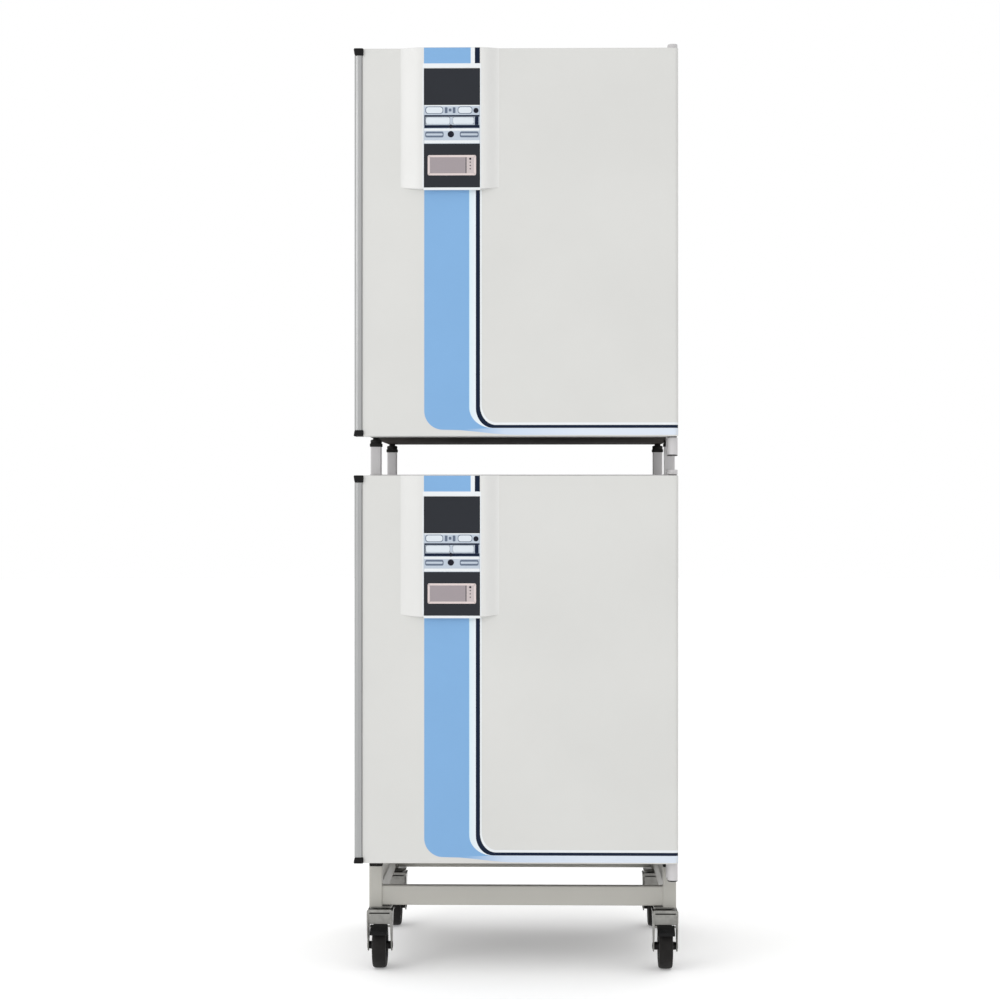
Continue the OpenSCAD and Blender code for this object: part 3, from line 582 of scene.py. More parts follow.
def door_shell(level):
    """Folded pan: a C-shaped section, the plan and the plan drawn in by the sheet's thickness, carried
    up the door, and two end plates with a hole for the pin, whose rim rolls over a quarter circle:
    inset r(1 - sin angle) at r(1 - cos angle) from the end."""
    outer, inner = (np.roll(door_plan(inset), -(PLAN_STEPS + 1), 0) for inset in (0, SHEET))
    section = np.r_[outer, inner[::-1]]
    bottom, top = UNIT_Z[level], UNIT_Z[level] + UNIT_H
    shapes = [prism(section, (bottom + FOLD_R, top - FOLD_R), 2)]
    pin = HINGE[f"{level}_door_hinge"]
    hole = pin[:2] + even_circle(6.3 * MM, len(outer))
    for end, inward in ((bottom, 1), (top, -1)):
        rings = [placed(hole, end + inward * FOLD_R, 2), placed(hole, end, 2)]
        for angle in np.linspace(0, math.pi / 2, 6):
            height = end + inward * FOLD_R * (1 - math.cos(angle))
            rings.append(placed(door_plan(FOLD_R * (1 - math.sin(angle))), height, 2))
        shapes.append(skin(np.stack(rings), loop=True))
    bush_h, rim = 30 * MM, 9.4 * MM
    proud = 0.2 * MM
    bushes = []
    for z in (bottom - proud, top - bush_h + proud):
        profile = [(BUSH_R, z), (rim, z), (rim, z + bush_h), (BUSH_R, z + bush_h)]
        bushes.append(turned(profile, (pin[0], pin[1], 0), 2, 32, ring=True))
    parts = [(joined(shapes), DOOR_PAINT), (joined(bushes), CAP_BLACK)]
    piece(f"{level}_door_shell", parts, f"{level}_door", [f"{level}_door_skin"])


DOWN_POINTS, BEND_POINTS, ALONG_POINTS = 9, 17, 24


def swoosh_edge(x, corner_x, corner_z, end_z, top, level):
    """One border of the door's graphics: straight down at x, through a quarter ellipse whose half
    axes are corner_x and corner_z, then along to the hinge side at end_z."""
    angle = np.linspace(0, math.pi / 2, BEND_POINTS)
    down_z = np.linspace(top, end_z + corner_z, DOWN_POINTS + 1)[:-1]
    down = np.stack([np.full(DOWN_POINTS, x), down_z], -1)
    bend_x = x + corner_x * (1 - np.cos(angle))
    bend_z = end_z + corner_z * (1 - np.sin(angle))
    share = np.linspace(0, 1, ALONG_POINTS + 1)[1:]
    end_x = DOOR_HIGH[0] - 1.2 * MM
    # the power draws the points together where the door's face curves away
    run = x + corner_x + (end_x - x - corner_x) * (1 - (1 - share) ** 1.8)
    along = np.stack([run, np.full(len(run), end_z)], -1)
    border = np.concatenate([down, np.stack([bend_x, bend_z], -1), along])
    border[:, 1] += UNIT_Z[level]
    return border


def draped_film(left, right, columns=5):
    """Foil between two borders: place (s, t) lies a share s of the way from one to the other, laid
    on the door's face."""
    share = np.linspace(0, 1, columns)[None, :, None]
    flat = left[:, None] * (1 - share) + right[:, None] * share
    front = np.stack([flat[..., 0], door_face(flat[..., 0]) - FILM_T, flat[..., 1]], -1)
    back = front + np.array([0, FILM_T - 0.05 * MM, 0])
    return thick_sheet(front, back)


def door_graphics(level):
    """Blue stripe down the door with a pale band, a dark line and a fine white line beside it,
    which all turn and run along the bottom."""
    top = HOUSING_LOW[2] - UNIT_Z["lower"] - 1 * MM
    left = DOOR_LOW[0] + 150 * MM
    # millimetres: distance from the stripe's left side, the bend's two half axes, height at the bottom
    sizes = {
        "blue": (0, 45, 45, 15.5), "ice": (108, 58, 50, 19.2), "navy": (124, 42, 48, 19.6),
        "white": (134, 38, 46, 27), "end": (138, 36, 44, 33.0),
    }
    edge = {
        name: swoosh_edge(left + x * MM, across * MM, up * MM, z * MM, top, level)
        for name, (x, across, up, z) in sizes.items()
    }
    turn = DOWN_POINTS + BEND_POINTS
    # the pale band's lower border drops by 12.5 mm along a smooth step that is 160 mm long
    share = np.clip((edge["blue"][:, 0] - left - 60 * MM) / (160 * MM), 0, 1)
    edge["blue"][turn:, 1] -= (12.5 * MM * share**2 * (3 - 2 * share))[turn:]
    parts = [
        (draped_film(edge["blue"][:turn], edge["ice"][:turn], columns=9), BLUE_FILM),
        (draped_film(edge["blue"][turn - 1:], edge["ice"][turn - 1:]), BAND_FILM),
        (draped_film(edge["ice"], edge["navy"]), ICE_FILM),
        (draped_film(edge["navy"], edge["white"]), NAVY_FILM),
        (draped_film(edge["white"], edge["end"]), WHITE_FILM),
    ]
    piece(f"{level}_door_graphics", parts, f"{level}_door")


HOUSING_Z, KEYPAD_Z, WINDOW_Z = (
    (low[2] - UNIT_Z["lower"], high[2] - UNIT_Z["lower"])
    for low, high in ((HOUSING_LOW, HOUSING_HIGH), (PANEL_LOW, PANEL_HIGH), (WINDOW_LOW, WINDOW_HIGH))
)
HOUSING_GAP = 0.15 * MM     # the housing's skin stands this far off the swelling that it covers


def housing_depth(x):
    """How far the control housing stands out at x: a raised cosine to the power 0.8 up one flank, flat,
    and down the other."""
    flat = (PANEL_LOW[0] - 5 * MM, PANEL_HIGH[0] + 5 * MM)
    up = np.clip((x - HOUSING_LOW[0]) / (flat[0] - HOUSING_LOW[0]), 0, 1)
    down = np.clip((HOUSING_HIGH[0] - x) / (HOUSING_HIGH[0] - flat[1]), 0, 1)
    share = np.minimum(up, down)
    return (FACE_Y - HOUSING_LOW[1]) * (0.5 - 0.5 * np.cos(math.pi * share)) ** 0.8


def control_housing(level):
    """Swelling over the electronics: one skin of housing_depth with an opening for the window, its lip
    turned up at both ends, closed behind against the door."""
    gap, turn_in = 0.4 * MM, 0.8 * MM
    left_columns, window_columns, right_columns, window_rows = 26, 5, 22, 5
    x = np.r_[
        np.linspace(HOUSING_LOW[0], PANEL_LOW[0] - gap, left_columns),
        np.linspace(PANEL_LOW[0], PANEL_HIGH[0], window_columns),
        np.linspace(PANEL_HIGH[0] + gap, HOUSING_HIGH[0], right_columns),
    ]
    opening = np.linspace(WINDOW_Z[0] - gap, WINDOW_Z[1] + gap, window_rows + 1)
    middle, half = (HOUSING_LOW[0] + HOUSING_HIGH[0]) / 2, (HOUSING_HIGH[0] - HOUSING_LOW[0]) / 2
    # the lower edge curves up towards the sides with the fourth power of the distance from the middle
    lip = HOUSING_Z[0] + 6 * MM * (np.abs(x - middle) / half) ** 4
    rows = np.r_[opening, HOUSING_Z[1] - turn_in, HOUSING_Z[1]]
    z = np.concatenate([[lip, lip + turn_in], rows[:, None] + 0 * x])
    z[2] = np.maximum(z[2], z[1] + 0.5 * MM)
    proud = np.broadcast_to(housing_depth(x), z.shape).copy()
    proud[[0, -1]] = np.maximum(proud[[0, -1]] - turn_in, 0)
    front = np.stack([np.broadcast_to(x, z.shape), FACE_Y - proud - HOUSING_GAP, in_unit(z, level)], -1)
    back = front.copy()
    back[..., 1] = FACE_Y + 0.3 * MM
    keep = np.ones((len(z) - 1, len(x) - 1), bool)
    keep[2:2 + window_rows, left_columns - 1:left_columns + window_columns] = False
    shape = thick_sheet(front, back, keep)
    # the housing's lighter paint is a painted highlight on the swelling
    piece(f"{level}_control_fairing", [(shape, LIT_HOUSING_PAINT)], f"{level}_door",
          [f"{level}_control_housing"])


def housing_film(x_range, z_range, level, material, columns):
    """A rectangle of foil on the housing's skin, lifted off it by the foil's own thickness."""
    x = np.linspace(*x_range, columns)
    z = np.linspace(*z_range, 3)[:, None] + 0 * x
    y = FACE_Y - housing_depth(x) - HOUSING_GAP - FILM_T + 0 * z
    front = np.stack([x + 0 * z, y, in_unit(z, level)], -1)
    back = front + np.array([0, FILM_T - 0.05 * MM, 0])
    return thick_sheet(front, back), material


def plaque(x_range, z_range, level, front, depth, radius, material, edge=0.25 * MM):
    """A small flat plaque facing the user, with round corners and a rolled rim."""
    low = (x_range[0], front, in_unit(z_range[0], level))
    high = (x_range[1], front + depth, in_unit(z_range[1], level))
    return block(low, high, radius, edge, 1), material


def ring_plaque(x_range, z_range, width, level, front, depth, radius, material):
    """A frame facing the user: a rounded bar section carried round a rectangle."""
    low = np.array([in_unit(z_range[0], level), x_range[0]]) + width / 2
    high = np.array([in_unit(z_range[1], level), x_range[1]]) - width / 2
    path, outward = loop_path(low, high, radius, 4)
    half, edge = width / 2, min(width, depth) * 0.3
    profile = [(-half, front + depth), (-half, front + edge), (edge - half, front),
               (half - edge, front), (half, front + edge), (half, front + depth)]
    return carried(profile, path, outward, 1), material


def windows(level):
    """Dark panes over and under the keypad."""
    across, depth = (PANEL_LOW[0], PANEL_HIGH[0]), 4 * MM
    panes = [
        plaque(across, heights, level, WINDOW_LOW[1], depth, 1.5 * MM, DISPLAY_GLASS, 0.6 * MM)
        for heights in ((KEYPAD_Z[1] + SEAM, WINDOW_Z[1]), (WINDOW_Z[0], KEYPAD_Z[0] - SEAM))
    ]
    piece(f"{level}_windows", panes, f"{level}_door", [f"{level}_display_windows"])


def screen(level):
    """The lower pane's screen: a frame, its picture, a strip beside it, and four lamps in the strip."""
    front, frame_w = WINDOW_LOW[1], 5 * MM
    x_range = (PANEL_LOW[0] + 9 * MM, PANEL_HIGH[0] - 9 * MM)
    z_range = (WINDOW_Z[0] + 28.5 * MM, WINDOW_Z[0] + 77 * MM)
    side = x_range[1] - 25 * MM
    cover = frame_w - 0.4 * MM
    inside_z = (z_range[0] + cover, z_range[1] - cover)
    parts = [
        ring_plaque(x_range, z_range, frame_w, level, front - 0.55 * MM, 0.6 * MM, 1.2 * MM, SCREEN_FRAME),
        plaque((x_range[0] + cover, side), inside_z, level,
               front - 0.15 * MM, 0.3 * MM, 0.6 * MM, SCREEN, 0.1 * MM),
        plaque((side + 2 * MM, x_range[1] - cover), inside_z, level,
               front - 0.2 * MM, 0.3 * MM, 0.6 * MM, SCREEN_SIDE, 0.1 * MM),
    ]
    x = side + 11 * MM
    for row, lamp_r in enumerate((2.6 * MM, 1.5 * MM, 1.5 * MM, 1.5 * MM)):
        z = z_range[1] - (9 + 8 * row) * MM
        parts.append(plaque((x - lamp_r, x + lamp_r), (z - lamp_r, z + lamp_r), level,
                            front - 0.35 * MM, 0.25 * MM, lamp_r, KEY_DARK, 0.08 * MM))
    piece(f"{level}_screen", parts, f"{level}_door")


def keypad_print(level):
    """Shapes printed on the keypad, each given in millimetres from its lower left corner."""
    left, bottom, front = PANEL_LOW[0], KEYPAD_Z[0], WINDOW_LOW[1]
    raise_of_caps = 0.42

    def bar(x0, x1, z0, z1, material, radius, out=0.3):
        """One printed shape; out is how far it stands off the keypad's front."""
        return plaque((left + x0 * MM, left + x1 * MM), (bottom + z0 * MM, bottom + z1 * MM), level,
                      front - out * MM, out * MM - 0.02 * MM, radius * MM, material, 0.08 * MM)

    printing = [bar(1, 133, z0, z1, NAVY_FILM, 0.6) for z0, z1 in ((64.5, 68.5), (37.5, 44.5))]
    printing += [bar(1, 3.6, 44.7, 64.3, NAVY_FILM, 0.5), bar(122, 131, 44.7, 64.3, NAVY_FILM, 1.2)]
    printing += [bar(0.5, 133.5, z0, z1, WHITE_FILM, 1) for z0, z1 in ((31, 36), (1, 8), (89.8, 92.4))]
    for x0, x1, rim_left in ((3, 46, 2), (81, 116, 1.5)):
        printing.append(bar(x0, x1, 71.5, 89, LEGEND, 7))
        printing.append(bar(x0 + rim_left, x1 - 1.5, 73, 87.5, KEY_PALE, 6, raise_of_caps))
    printing.append(bar(118.5, 131, 73, 85.5, KEY_DARK, 6.1))
    for x0, x1 in ((3, 47), (86, 131)):
        printing.append(bar(x0, x1, 15, 29, LEGEND, 4))
        printing.append(bar(x0 + 2, x1 - 2, 19.5, 24.5, KEYPAD_FILM, 2.2, raise_of_caps))
    for k in range(3):
        printing.append(bar(50 + 9.5 * k, 56.5 + 9.5 * k, 73 + 4 * (k % 2), 87 - 3 * (k % 2), LEGEND, 1.5))
    corners = 5.5 * MM * np.array([[1, 0], [0, 1], [-1, 0], [0, -1]])
    diamond = prism(corners, (front - 0.5 * MM, front - 0.02 * MM), 1)
    place = (left + 64.5 * MM, 0, in_unit(bottom + 41.5 * MM, level))
    printing.append((moved(diamond, place), KEY_DARK))
    piece(f"{level}_keypad_print", printing, f"{level}_door")


def housing_films(level):
    """Foils on the housing: the top of the door's stripes, and white lines round the windows."""
    left, right = PANEL_LOW[0], PANEL_HIGH[0]
    low, top = WINDOW_Z
    stripes = (top + 12 * MM, UNIT_H - 1 * MM)
    beside = (low, top + 1 * MM)
    rows = [
        ((left, right - 22 * MM), stripes, BLUE_FILM, 9),
        ((right - 12 * MM, right), stripes, NAVY_FILM, 5),
        ((right - 22 * MM, right - 12 * MM), stripes, WHITE_FILM, 5),
        ((left - 3 * MM, right + 3 * MM), (top + 1 * MM, top + 12 * MM), WHITE_FILM, 9),
        ((left - 3.4 * MM, left - 0.5 * MM), beside, WHITE_FILM, 3),
        ((right + 0.5 * MM, right + 3.4 * MM), beside, WHITE_FILM, 3),
        ((left - 1 * MM, right + 1 * MM), (low - 6.5 * MM, low - 0.6 * MM), WHITE_FILM, 9),
    ]
    parts = [
        housing_film(x_range, z_range, level, film, columns) for x_range, z_range, film, columns in rows
    ]
    piece(f"{level}_housing_film", parts, f"{level}_door")


def keys(level):
    """Two bar keys, blocks with rolled rims, and a round key turned from a profile with a raised ring."""
    for side in ("left", "right"):
        low, high = span(f"{level}_{side}_key")
        cap = block(low, high, 3.5 * MM, 0.9 * MM, 1, 6)
        piece(f"{level}_{side}_key_cap", [(cap, KEY_PALE)], f"{level}_{side}_button",
              [f"{level}_{side}_key"])
    low, high = span(f"{level}_round_key")
    radius = (high[0] - low[0]) / 2
    middle = (low + high) / 2
    out = radius * np.array([0, 0.55, 0.62, 0.8, 0.93, 1.0, 1.0, 0])
    y = np.array([0.7, 0.55, 0.15, 0.0, 0.15, 0.8, 6, 6]) * MM + low[1]
    cap = turned(np.stack([out, y], -1), (middle[0], 0, middle[2]), 1, 48)
    piece(f"{level}_round_key_cap", [(cap, KEY_DARK)], f"{level}_round_button",
          [f"{level}_round_key"])


def door_grip(level):
    """Grip extrusion: an S-shaped lip with two fine grooves, and a tapered cap at each end."""
    x, back = span(f"{level}_door_handle")[1][:2]
    outline_mm = [
        (0, None), (0, -3.4), (-3, -4.15), (-6.5, -4.5), (-6.8, -4.1), (-7.4, -4.1), (-7.7, -4.5),
        (-10.5, -4.2), (-13, -3.4), (-15, -2.3), (-16.8, -0.2), (-17.7, 2.0), (-17.4, 4.0),
        (-16, 5.4), (-13.5, 5.4), (-11, 4.6), (-9, 4.7), (-6.4, 6.2), (-5.1, 8.6), (-5, 12), (-5, None),
    ]
    outline = np.array([
        (x + across * MM, back if out is None else FACE_Y + out * MM) for across, out in outline_mm
    ])
    cap_low, cap_high = span(f"{level}_handle_caps")
    lower_h, upper_h, lap = 14.5 * MM, 17.5 * MM, 1 * MM
    ends = (cap_low[2] + lower_h - lap, cap_high[2] - upper_h + lap)
    piece(f"{level}_grip", [(prism(outline, ends, 2), GRIP_METAL)], f"{level}_door",
          [f"{level}_door_handle"], bevel=0.3 * MM, sharp=50)
    caps = []
    for bottom, height, upward in ((cap_low[2], lower_h, False), (cap_high[2] - upper_h, upper_h, True)):
        rings = []
        # share of the cap's height, and millimetres that the outline is drawn in near its ends
        for share, roll in ((0, 1.6), (0.08, 0.5), (0.2, 0), (0.8, 0), (0.92, 0.5), (1, 1.6)):
            roll *= MM
            taper = 2.6 * MM * (1 - share if upward else share)
            flat_low = np.array([cap_low[0] + taper + roll, cap_low[1] + roll])
            flat_high = np.array([cap_high[0] - roll, cap_high[1] - taper * 2 - roll])
            rings.append(placed(round_rect(flat_low, flat_high, 3 * MM), bottom + height * share, 2))
        caps.append(skin(np.stack(rings)))
    piece(f"{level}_grip_caps", [(joined(caps), CAP_BLACK)], f"{level}_door",
          [f"{level}_handle_caps"])


# ------------------------------------------------------------------ cabinets

UNDER = np.array([0, 0, UNIT_Z["lower"]])
CABINET_LOW, CABINET_HIGH = (corner - UNDER for corner in span("lower_casing"))
CHAMBER_LOW, CHAMBER_HIGH = (corner - UNDER for corner in span("lower_chamber"))
FLANGE = 25 * MM * np.array([1, 0, 1])
MOUTH_LOW, MOUTH_HIGH = CHAMBER_LOW + FLANGE, CHAMBER_HIGH - FLANGE
MOUTH_R = 10 * MM
MIDDLE_X = (CABINET_LOW[0] + CABINET_HIGH[0]) / 2
BACK_Y = CABINET_HIGH[1]
FAN_X, FAN_Z = MIDDLE_X, MOUTH_HIGH[2] - 105 * MM


def in_both(node):
    """The corners of a node that both cabinets have, with heights counted from each cabinet's bottom."""
    low, high = span(node)
    return low - [0, 0, UNIT_Z["lower"]], high - [0, 0, UNIT_Z["upper"]]


def raised(parts, level):
    """Parts drawn from a cabinet's own bottom, lifted to their place in the stack."""
    return [(moved(shape, (0, 0, UNIT_Z[level])), material) for shape, material in parts]


def twice(parts):
    """The same parts in both cabinets."""
    return [part for level in LEVELS for part in raised(parts, level)]


def facing(low, high, radius, steps=8):
    """The outline of a rectangle that faces along Y."""
    return round_rect(flat_axes(1, low), flat_axes(1, high), radius, steps)


def casing(level):
    """Wrapped sheet with round long edges, a face plate round the chamber's mouth, a back plate, a base pan
    coloured dark brown as painted shade under the cabinet, and screws up both rear edges."""
    low, high = CABINET_LOW, CABINET_HIGH
    wrap = hollow(low, high, SHEET, 4 * MM, 1)
    outer = facing(low + SHEET, high - SHEET, 2.5 * MM)
    inner = facing(CHAMBER_LOW - SEAM, CHAMBER_HIGH + SEAM, 3 * MM)
    face = ring_prism(outer, inner, (low[1], low[1] + SHEET), 1)
    inset = np.array([SHEET, 0, SHEET])
    back = block(low + inset + [0, high[1] - low[1] - SHEET, 0], high - inset, 3 * MM, 0.2 * MM, 1)
    margin = 5 * MM
    # the base pan's dark colour is painted shade under the cabinet, not a finish of its own
    pan_high = (high[0] - margin, high[1] - margin, 0.8 * MM)
    pan = block(low + [margin, margin, -0.4 * MM], pan_high, 6 * MM, 0.3 * MM)
    screw_z = np.linspace(50 * MM, UNIT_H - 50 * MM, 5)
    screws = [
        pan_screw((x, high[1] - 14 * MM, z), 4 * MM, 0, sign)
        for x, sign in ((low[0], -1), (high[0], 1)) for z in screw_z
    ]
    parts = [(joined([wrap, face, back]), CASING_PAINT), (pan, SHADE_PAINTED_UNDERSIDE), (joined(screws), BOLT_STEEL)]
    piece(f"{level}_cabinet_wrap", raised(parts, level), "root", [f"{level}_casing"])


def chamber_liner(level):
    """Drawn stainless liner with coved edges, closed behind, with a flange round its mouth."""
    wall = 0.8 * MM
    inner = facing(MOUTH_LOW, MOUTH_HIGH, MOUTH_R)
    outer = facing(MOUTH_LOW - wall, MOUTH_HIGH + wall, MOUTH_R + wall)
    rim = facing(CHAMBER_LOW, CHAMBER_HIGH, 3 * MM)
    front, back = CHAMBER_LOW[1], CHAMBER_HIGH[1]
    cove, flange_t = 8 * MM, 1.4 * MM
    rings = [placed(inner, front + 0.2 * MM, 1), placed(inner, back - wall - cove, 1)]
    for angle in np.linspace(0, math.pi / 2, 6)[1:]:
        draw = cove * (1 - math.cos(angle))
        outline = facing(MOUTH_LOW + draw, MOUTH_HIGH - draw, max(MOUTH_R - draw, 1 * MM))
        rings.append(placed(outline, back - wall - cove * (1 - math.sin(angle)), 1))
    middle, half = (MOUTH_LOW + MOUTH_HIGH) / 2, 5 * MM
    centre_patch = facing(middle - half, middle + half, 1 * MM)
    rings += [placed(centre_patch, back - wall, 1), placed(centre_patch, back, 1), placed(outer, back, 1)]
    rings += [placed(outer, front + flange_t, 1), placed(rim, front + flange_t, 1), placed(rim, front, 1)]
    rings.append(placed(facing(MOUTH_LOW - 0.2 * MM, MOUTH_HIGH + 0.2 * MM, MOUTH_R), front, 1))
    parts = [(skin(np.stack(rings), loop=True), STAINLESS)]
    piece(f"{level}_liner_box", raised(parts, level), "root", [f"{level}_chamber"])


def louvre(x_range, z, height, depth, y):
    """A pressed slot: over the share s across and t down it stands out by depth * sin(pi s)^0.4 * t^0.7,
    and drops straight back at its open lower edge."""
    s = np.linspace(0, 1, 13)
    t = np.array([0, 0.15, 0.35, 0.6, 0.85, 1, 1])[:, None]
    out = depth * np.sin(math.pi * s) ** 0.4 * t**0.7
    out[-1] = 0
    x = x_range[0] + (x_range[1] - x_range[0]) * s + 0 * t
    front = np.stack([x, y + out, z - height * t + 0 * s], -1)
    back = np.stack([x, y - 0.6 * MM + 0 * out, z - height * t + 0 * s], -1)
    return thick_sheet(front, back)


def rear_covers():
    """Box over the electronics behind each cabinet, with two banks of louvres and screws round it."""
    low, high = in_both("rear_covers")
    shapes = [block(low, high, 5 * MM, 3 * MM, 1, 6)]
    slot_w, from_side, from_top, pitch, edge = 130 * MM, 60 * MM, 60 * MM, 15 * MM, 12 * MM
    for x in (low[0] + from_side, high[0] - from_side - slot_w):
        for k in range(12):
            slot_z = high[2] - from_top - pitch * k
            shapes.append(louvre((x, x + slot_w), slot_z, 8 * MM, 4.5 * MM, high[1]))
    screws = [
        pan_screw((x, high[1], z), 4.5 * MM, 1, 1)
        for x in (low[0] + edge, MIDDLE_X + 55 * MM, high[0] - edge)
        for z in (low[2] + edge, (low[2] + high[2]) / 2, high[2] - edge)
    ]
    parts = [(joined(shapes), CASING_PAINT), (joined(screws), BOLT_STEEL)]
    piece("rear_boxes", twice(parts), "root", ["rear_covers"])


def rear_fittings():
    """Gas spigots with a barbed end, and access ports with a stopper at each end. The profiles are in
    millimetres, from the cabinet's back."""
    spigot_x, spigot_z, port_x, port_z = MIDDLE_X + 235 * MM, 36 * MM, MIDDLE_X - 250 * MM, 300 * MM
    inside, back = MOUTH_HIGH[1], BACK_Y
    spigot = [(0, -1), (10, -1), (10, 7.5), (9.3, 8), (4.6, 8), (3.4, 9.5), (3.4, 24), (4, 25), (3.3, 29.5),
              (4, 30), (3.3, 34.5), (4, 35), (3, 39.6), (1.8, 40), (1.8, 30), (0, 30)]
    nut = prism(even_circle(13 * MM, 6), (back + 0.2 * MM, back + 5 * MM), 1)
    tube = [(24, inside - 3 * MM), (24, back + 4 * MM), (21, back + 4 * MM), (21, inside - 3 * MM)]
    collar = [(24, 0.1), (33, 0.1), (33, 1.4), (32, 2.2), (24, 2.6)]
    plug = [(0, -20), (20.7, -20), (20.7, 4.2), (26, 4.2), (26, 13), (24.5, 15.4), (22, 16), (8, 16),
            (6, 14.5), (0, 14)]
    inner_plug = [(0, 20), (20.7, 20), (20.7, -6), (19, -8), (0, -8)]
    steel = [
        turned(MM * np.array(spigot), (spigot_x, back, spigot_z), 1, 32),
        moved(nut, (spigot_x, 0, spigot_z)),
        turned([(radius * MM, y) for radius, y in tube], (port_x, 0, port_z), 1, 48, ring=True),
        turned(MM * np.array(collar), (port_x, back, port_z), 1, 48, ring=True),
    ]
    stoppers = [
        turned(MM * np.array(plug), (port_x, back, port_z), 1, 48),
        turned(MM * np.array(inner_plug), (port_x, inside, port_z), 1, 48),
    ]
    parts = [(joined(steel), BOLT_STEEL), (joined(stoppers), SILICONE)]
    piece("ports_and_spigots", twice(parts), "root", ["rear_ports"])


def mains_sockets():
    """Mains inlets: a socket shell with three blades inside."""
    back = BACK_Y
    low, high = in_both("power_inlets")
    middle = (low + high) / 2
    pocket = np.array([12.3, 0, 8.5]) * MM
    outer, hole = facing(low, high, 4 * MM), facing(middle - pocket, middle + pocket, 3 * MM)
    shell = ring_prism(outer, hole, (back + 2 * MM, high[1]), 1)
    floor = block((low[0], back, low[2]), (high[0], back + 3 * MM, high[2]), 4 * MM, 0.5 * MM, 1)
    half_w, half_h = 1 * MM, 2.5 * MM
    blades = []
    for across, up in ((-7, -2), (0, 2.5), (7, -2)):
        x, z = middle[0] + across * MM, middle[2] + up * MM
        blade_low = (x - half_w, back + 3 * MM, z - half_h)
        blade_high = (x + half_w, high[1] - 3 * MM, z + half_h)
        blades.append(block(blade_low, blade_high, 0.4 * MM, 0.3 * MM, 1))
    parts = [(joined([shell, floor]), CAP_BLACK), (joined(blades), BOLT_STEEL)]
    piece("mains_sockets", twice(parts), "root", ["power_inlets"])


# ------------------------------------------------------------------ chamber fittings


def shelf_tray(low, high, top, rim):
    """Shelf sheet with rows of slots, inside a rim turned down with round corners."""
    inset, overlap, sheet_t, corner_r = 22 * MM, 1 * MM, 1.2 * MM, 6 * MM

    def edges(axis, count, half_web):
        """Grid lines along an axis: the sheet's ends, and both sides of each web between slots."""
        webs = np.linspace(low[axis] + inset, high[axis] - inset, count + 1)[:, None]
        return np.r_[low[axis] + overlap, (webs + [-half_web, half_web]).ravel(), high[axis] - overlap]

    x, y = edges(0, 17, 4 * MM), edges(1, 15, 5 * MM)
    across, along = np.meshgrid(x, y)
    front = np.stack([across, along, top + 0 * across], -1)
    keep = np.ones((len(y) - 1, len(x) - 1), bool)
    keep[2:-2:2, 2:-2:2] = False
    sheet = thick_sheet(front, front - [0, 0, sheet_t], keep)
    outer, roll, inner = (
        round_rect(low[:2] + draw, high[:2] - draw, corner_r - draw) for draw in (0, overlap, sheet_t)
    )
    rings = [(outer, top - rim), (outer, top - 1 * MM), (roll, top - 0.1 * MM), (inner, top - 1.3 * MM),
             (inner, top - rim)]
    return joined([sheet, skin(np.stack([placed(outline, z, 2) for outline, z in rings]), loop=True)])


def shelves():
    """Three slotted shelves in each chamber."""
    low, high = in_both("shelves")
    rim = 12 * MM
    first, last = low[2] + rim, high[2]
    parts = [(shelf_tray(low, high, z, rim), STAINLESS) for z in np.linspace(first, last, 3)]
    piece("shelf_trays", twice(parts), "root", ["shelves"])


COVER_Y = MOUTH_HIGH[1] - 53 * MM       # front of the fan's cover


def fan_cover():
    """Fan's cover: rings from its back edge round its front to the rolled lip of a round inlet, and back
    along the inside; three wire rings and two cross wires guard the inlet."""
    front, back = COVER_Y, MOUTH_HIGH[1] - 1.2 * MM
    low = np.array([FAN_X - 150 * MM, 0, FAN_Z - 120 * MM])
    high = np.array([FAN_X + 150 * MM, 0, MOUTH_HIGH[2] - 10 * MM])

    def ring(draw, y):
        """The cover's outline, drawn in, at a depth."""
        return placed(facing(low + draw, high - draw, max(9 * MM - draw, 1 * MM), 10), y, 1)

    def hole(radius, y):
        """The inlet's outline at a depth, with as many points as the cover's outline."""
        return placed(even_circle(radius, 44) + [FAN_Z, FAN_X], y, 1)

    rings = [ring(0, back), ring(0, front + 4 * MM), ring(1.2 * MM, front + 1.2 * MM), ring(4 * MM, front),
             hole(54 * MM, front), hole(50.5 * MM, front + 1 * MM), hole(50 * MM, front + 4 * MM),
             hole(51.5 * MM, front + 4 * MM), hole(55 * MM, front + 1.6 * MM),
             ring(5 * MM, front + 1.6 * MM), ring(1.6 * MM, front + 4 * MM), ring(1.6 * MM, back)]
    cover = skin(np.stack(rings), loop=True)
    wire_r, reach, edge = 1.1 * MM, 51 * MM, 14 * MM
    fittings = []
    for radius in (14 * MM, 26 * MM, 38 * MM):
        profile = even_circle(wire_r, 8) + [radius, front + 2 * MM]
        fittings.append(turned(profile, (FAN_X, 0, FAN_Z), 1, 48, ring=True))
    for axis in (0, 2):
        start = np.array([FAN_X, front + 3.2 * MM, FAN_Z])
        end = start.copy()
        start[axis] -= reach
        end[axis] += reach
        fittings.append(rod(start, end, wire_r, axis, 0.3 * MM, 10))
    for x in (low[0] + edge, high[0] - edge):
        for z in (low[2] + edge, high[2] - edge):
            fittings.append(pan_screw((x, front, z), 3.5 * MM, 1, -1))
    return cover, fittings


def chamber_covers():
    """Fan's cover, and the cover of the water reservoir with its knob."""
    cover, fittings = fan_cover()
    side = 14.4 * MM
    low = MOUTH_LOW + [side, 31 * MM, 0.2 * MM]
    high = np.array([MOUTH_HIGH[0] - side, COVER_Y - 6 * MM, MOUTH_LOW[2] + 37 * MM])
    tray = block(low, high, 12 * MM, 4 * MM, 2, 8)
    knob = MM * np.array([(0, -1), (7, -1), (6, 3), (9, 6), (9, 8), (7, 9.5), (0, 10)])
    fittings.append(turned(knob, (FAN_X, low[1] + 40 * MM, high[2]), 2, 32))
    parts = [(joined([cover, tray]), STAINLESS), (joined(fittings), BOLT_STEEL)]
    piece("chamber_guards", twice(parts), "root", ["chamber_covers"])


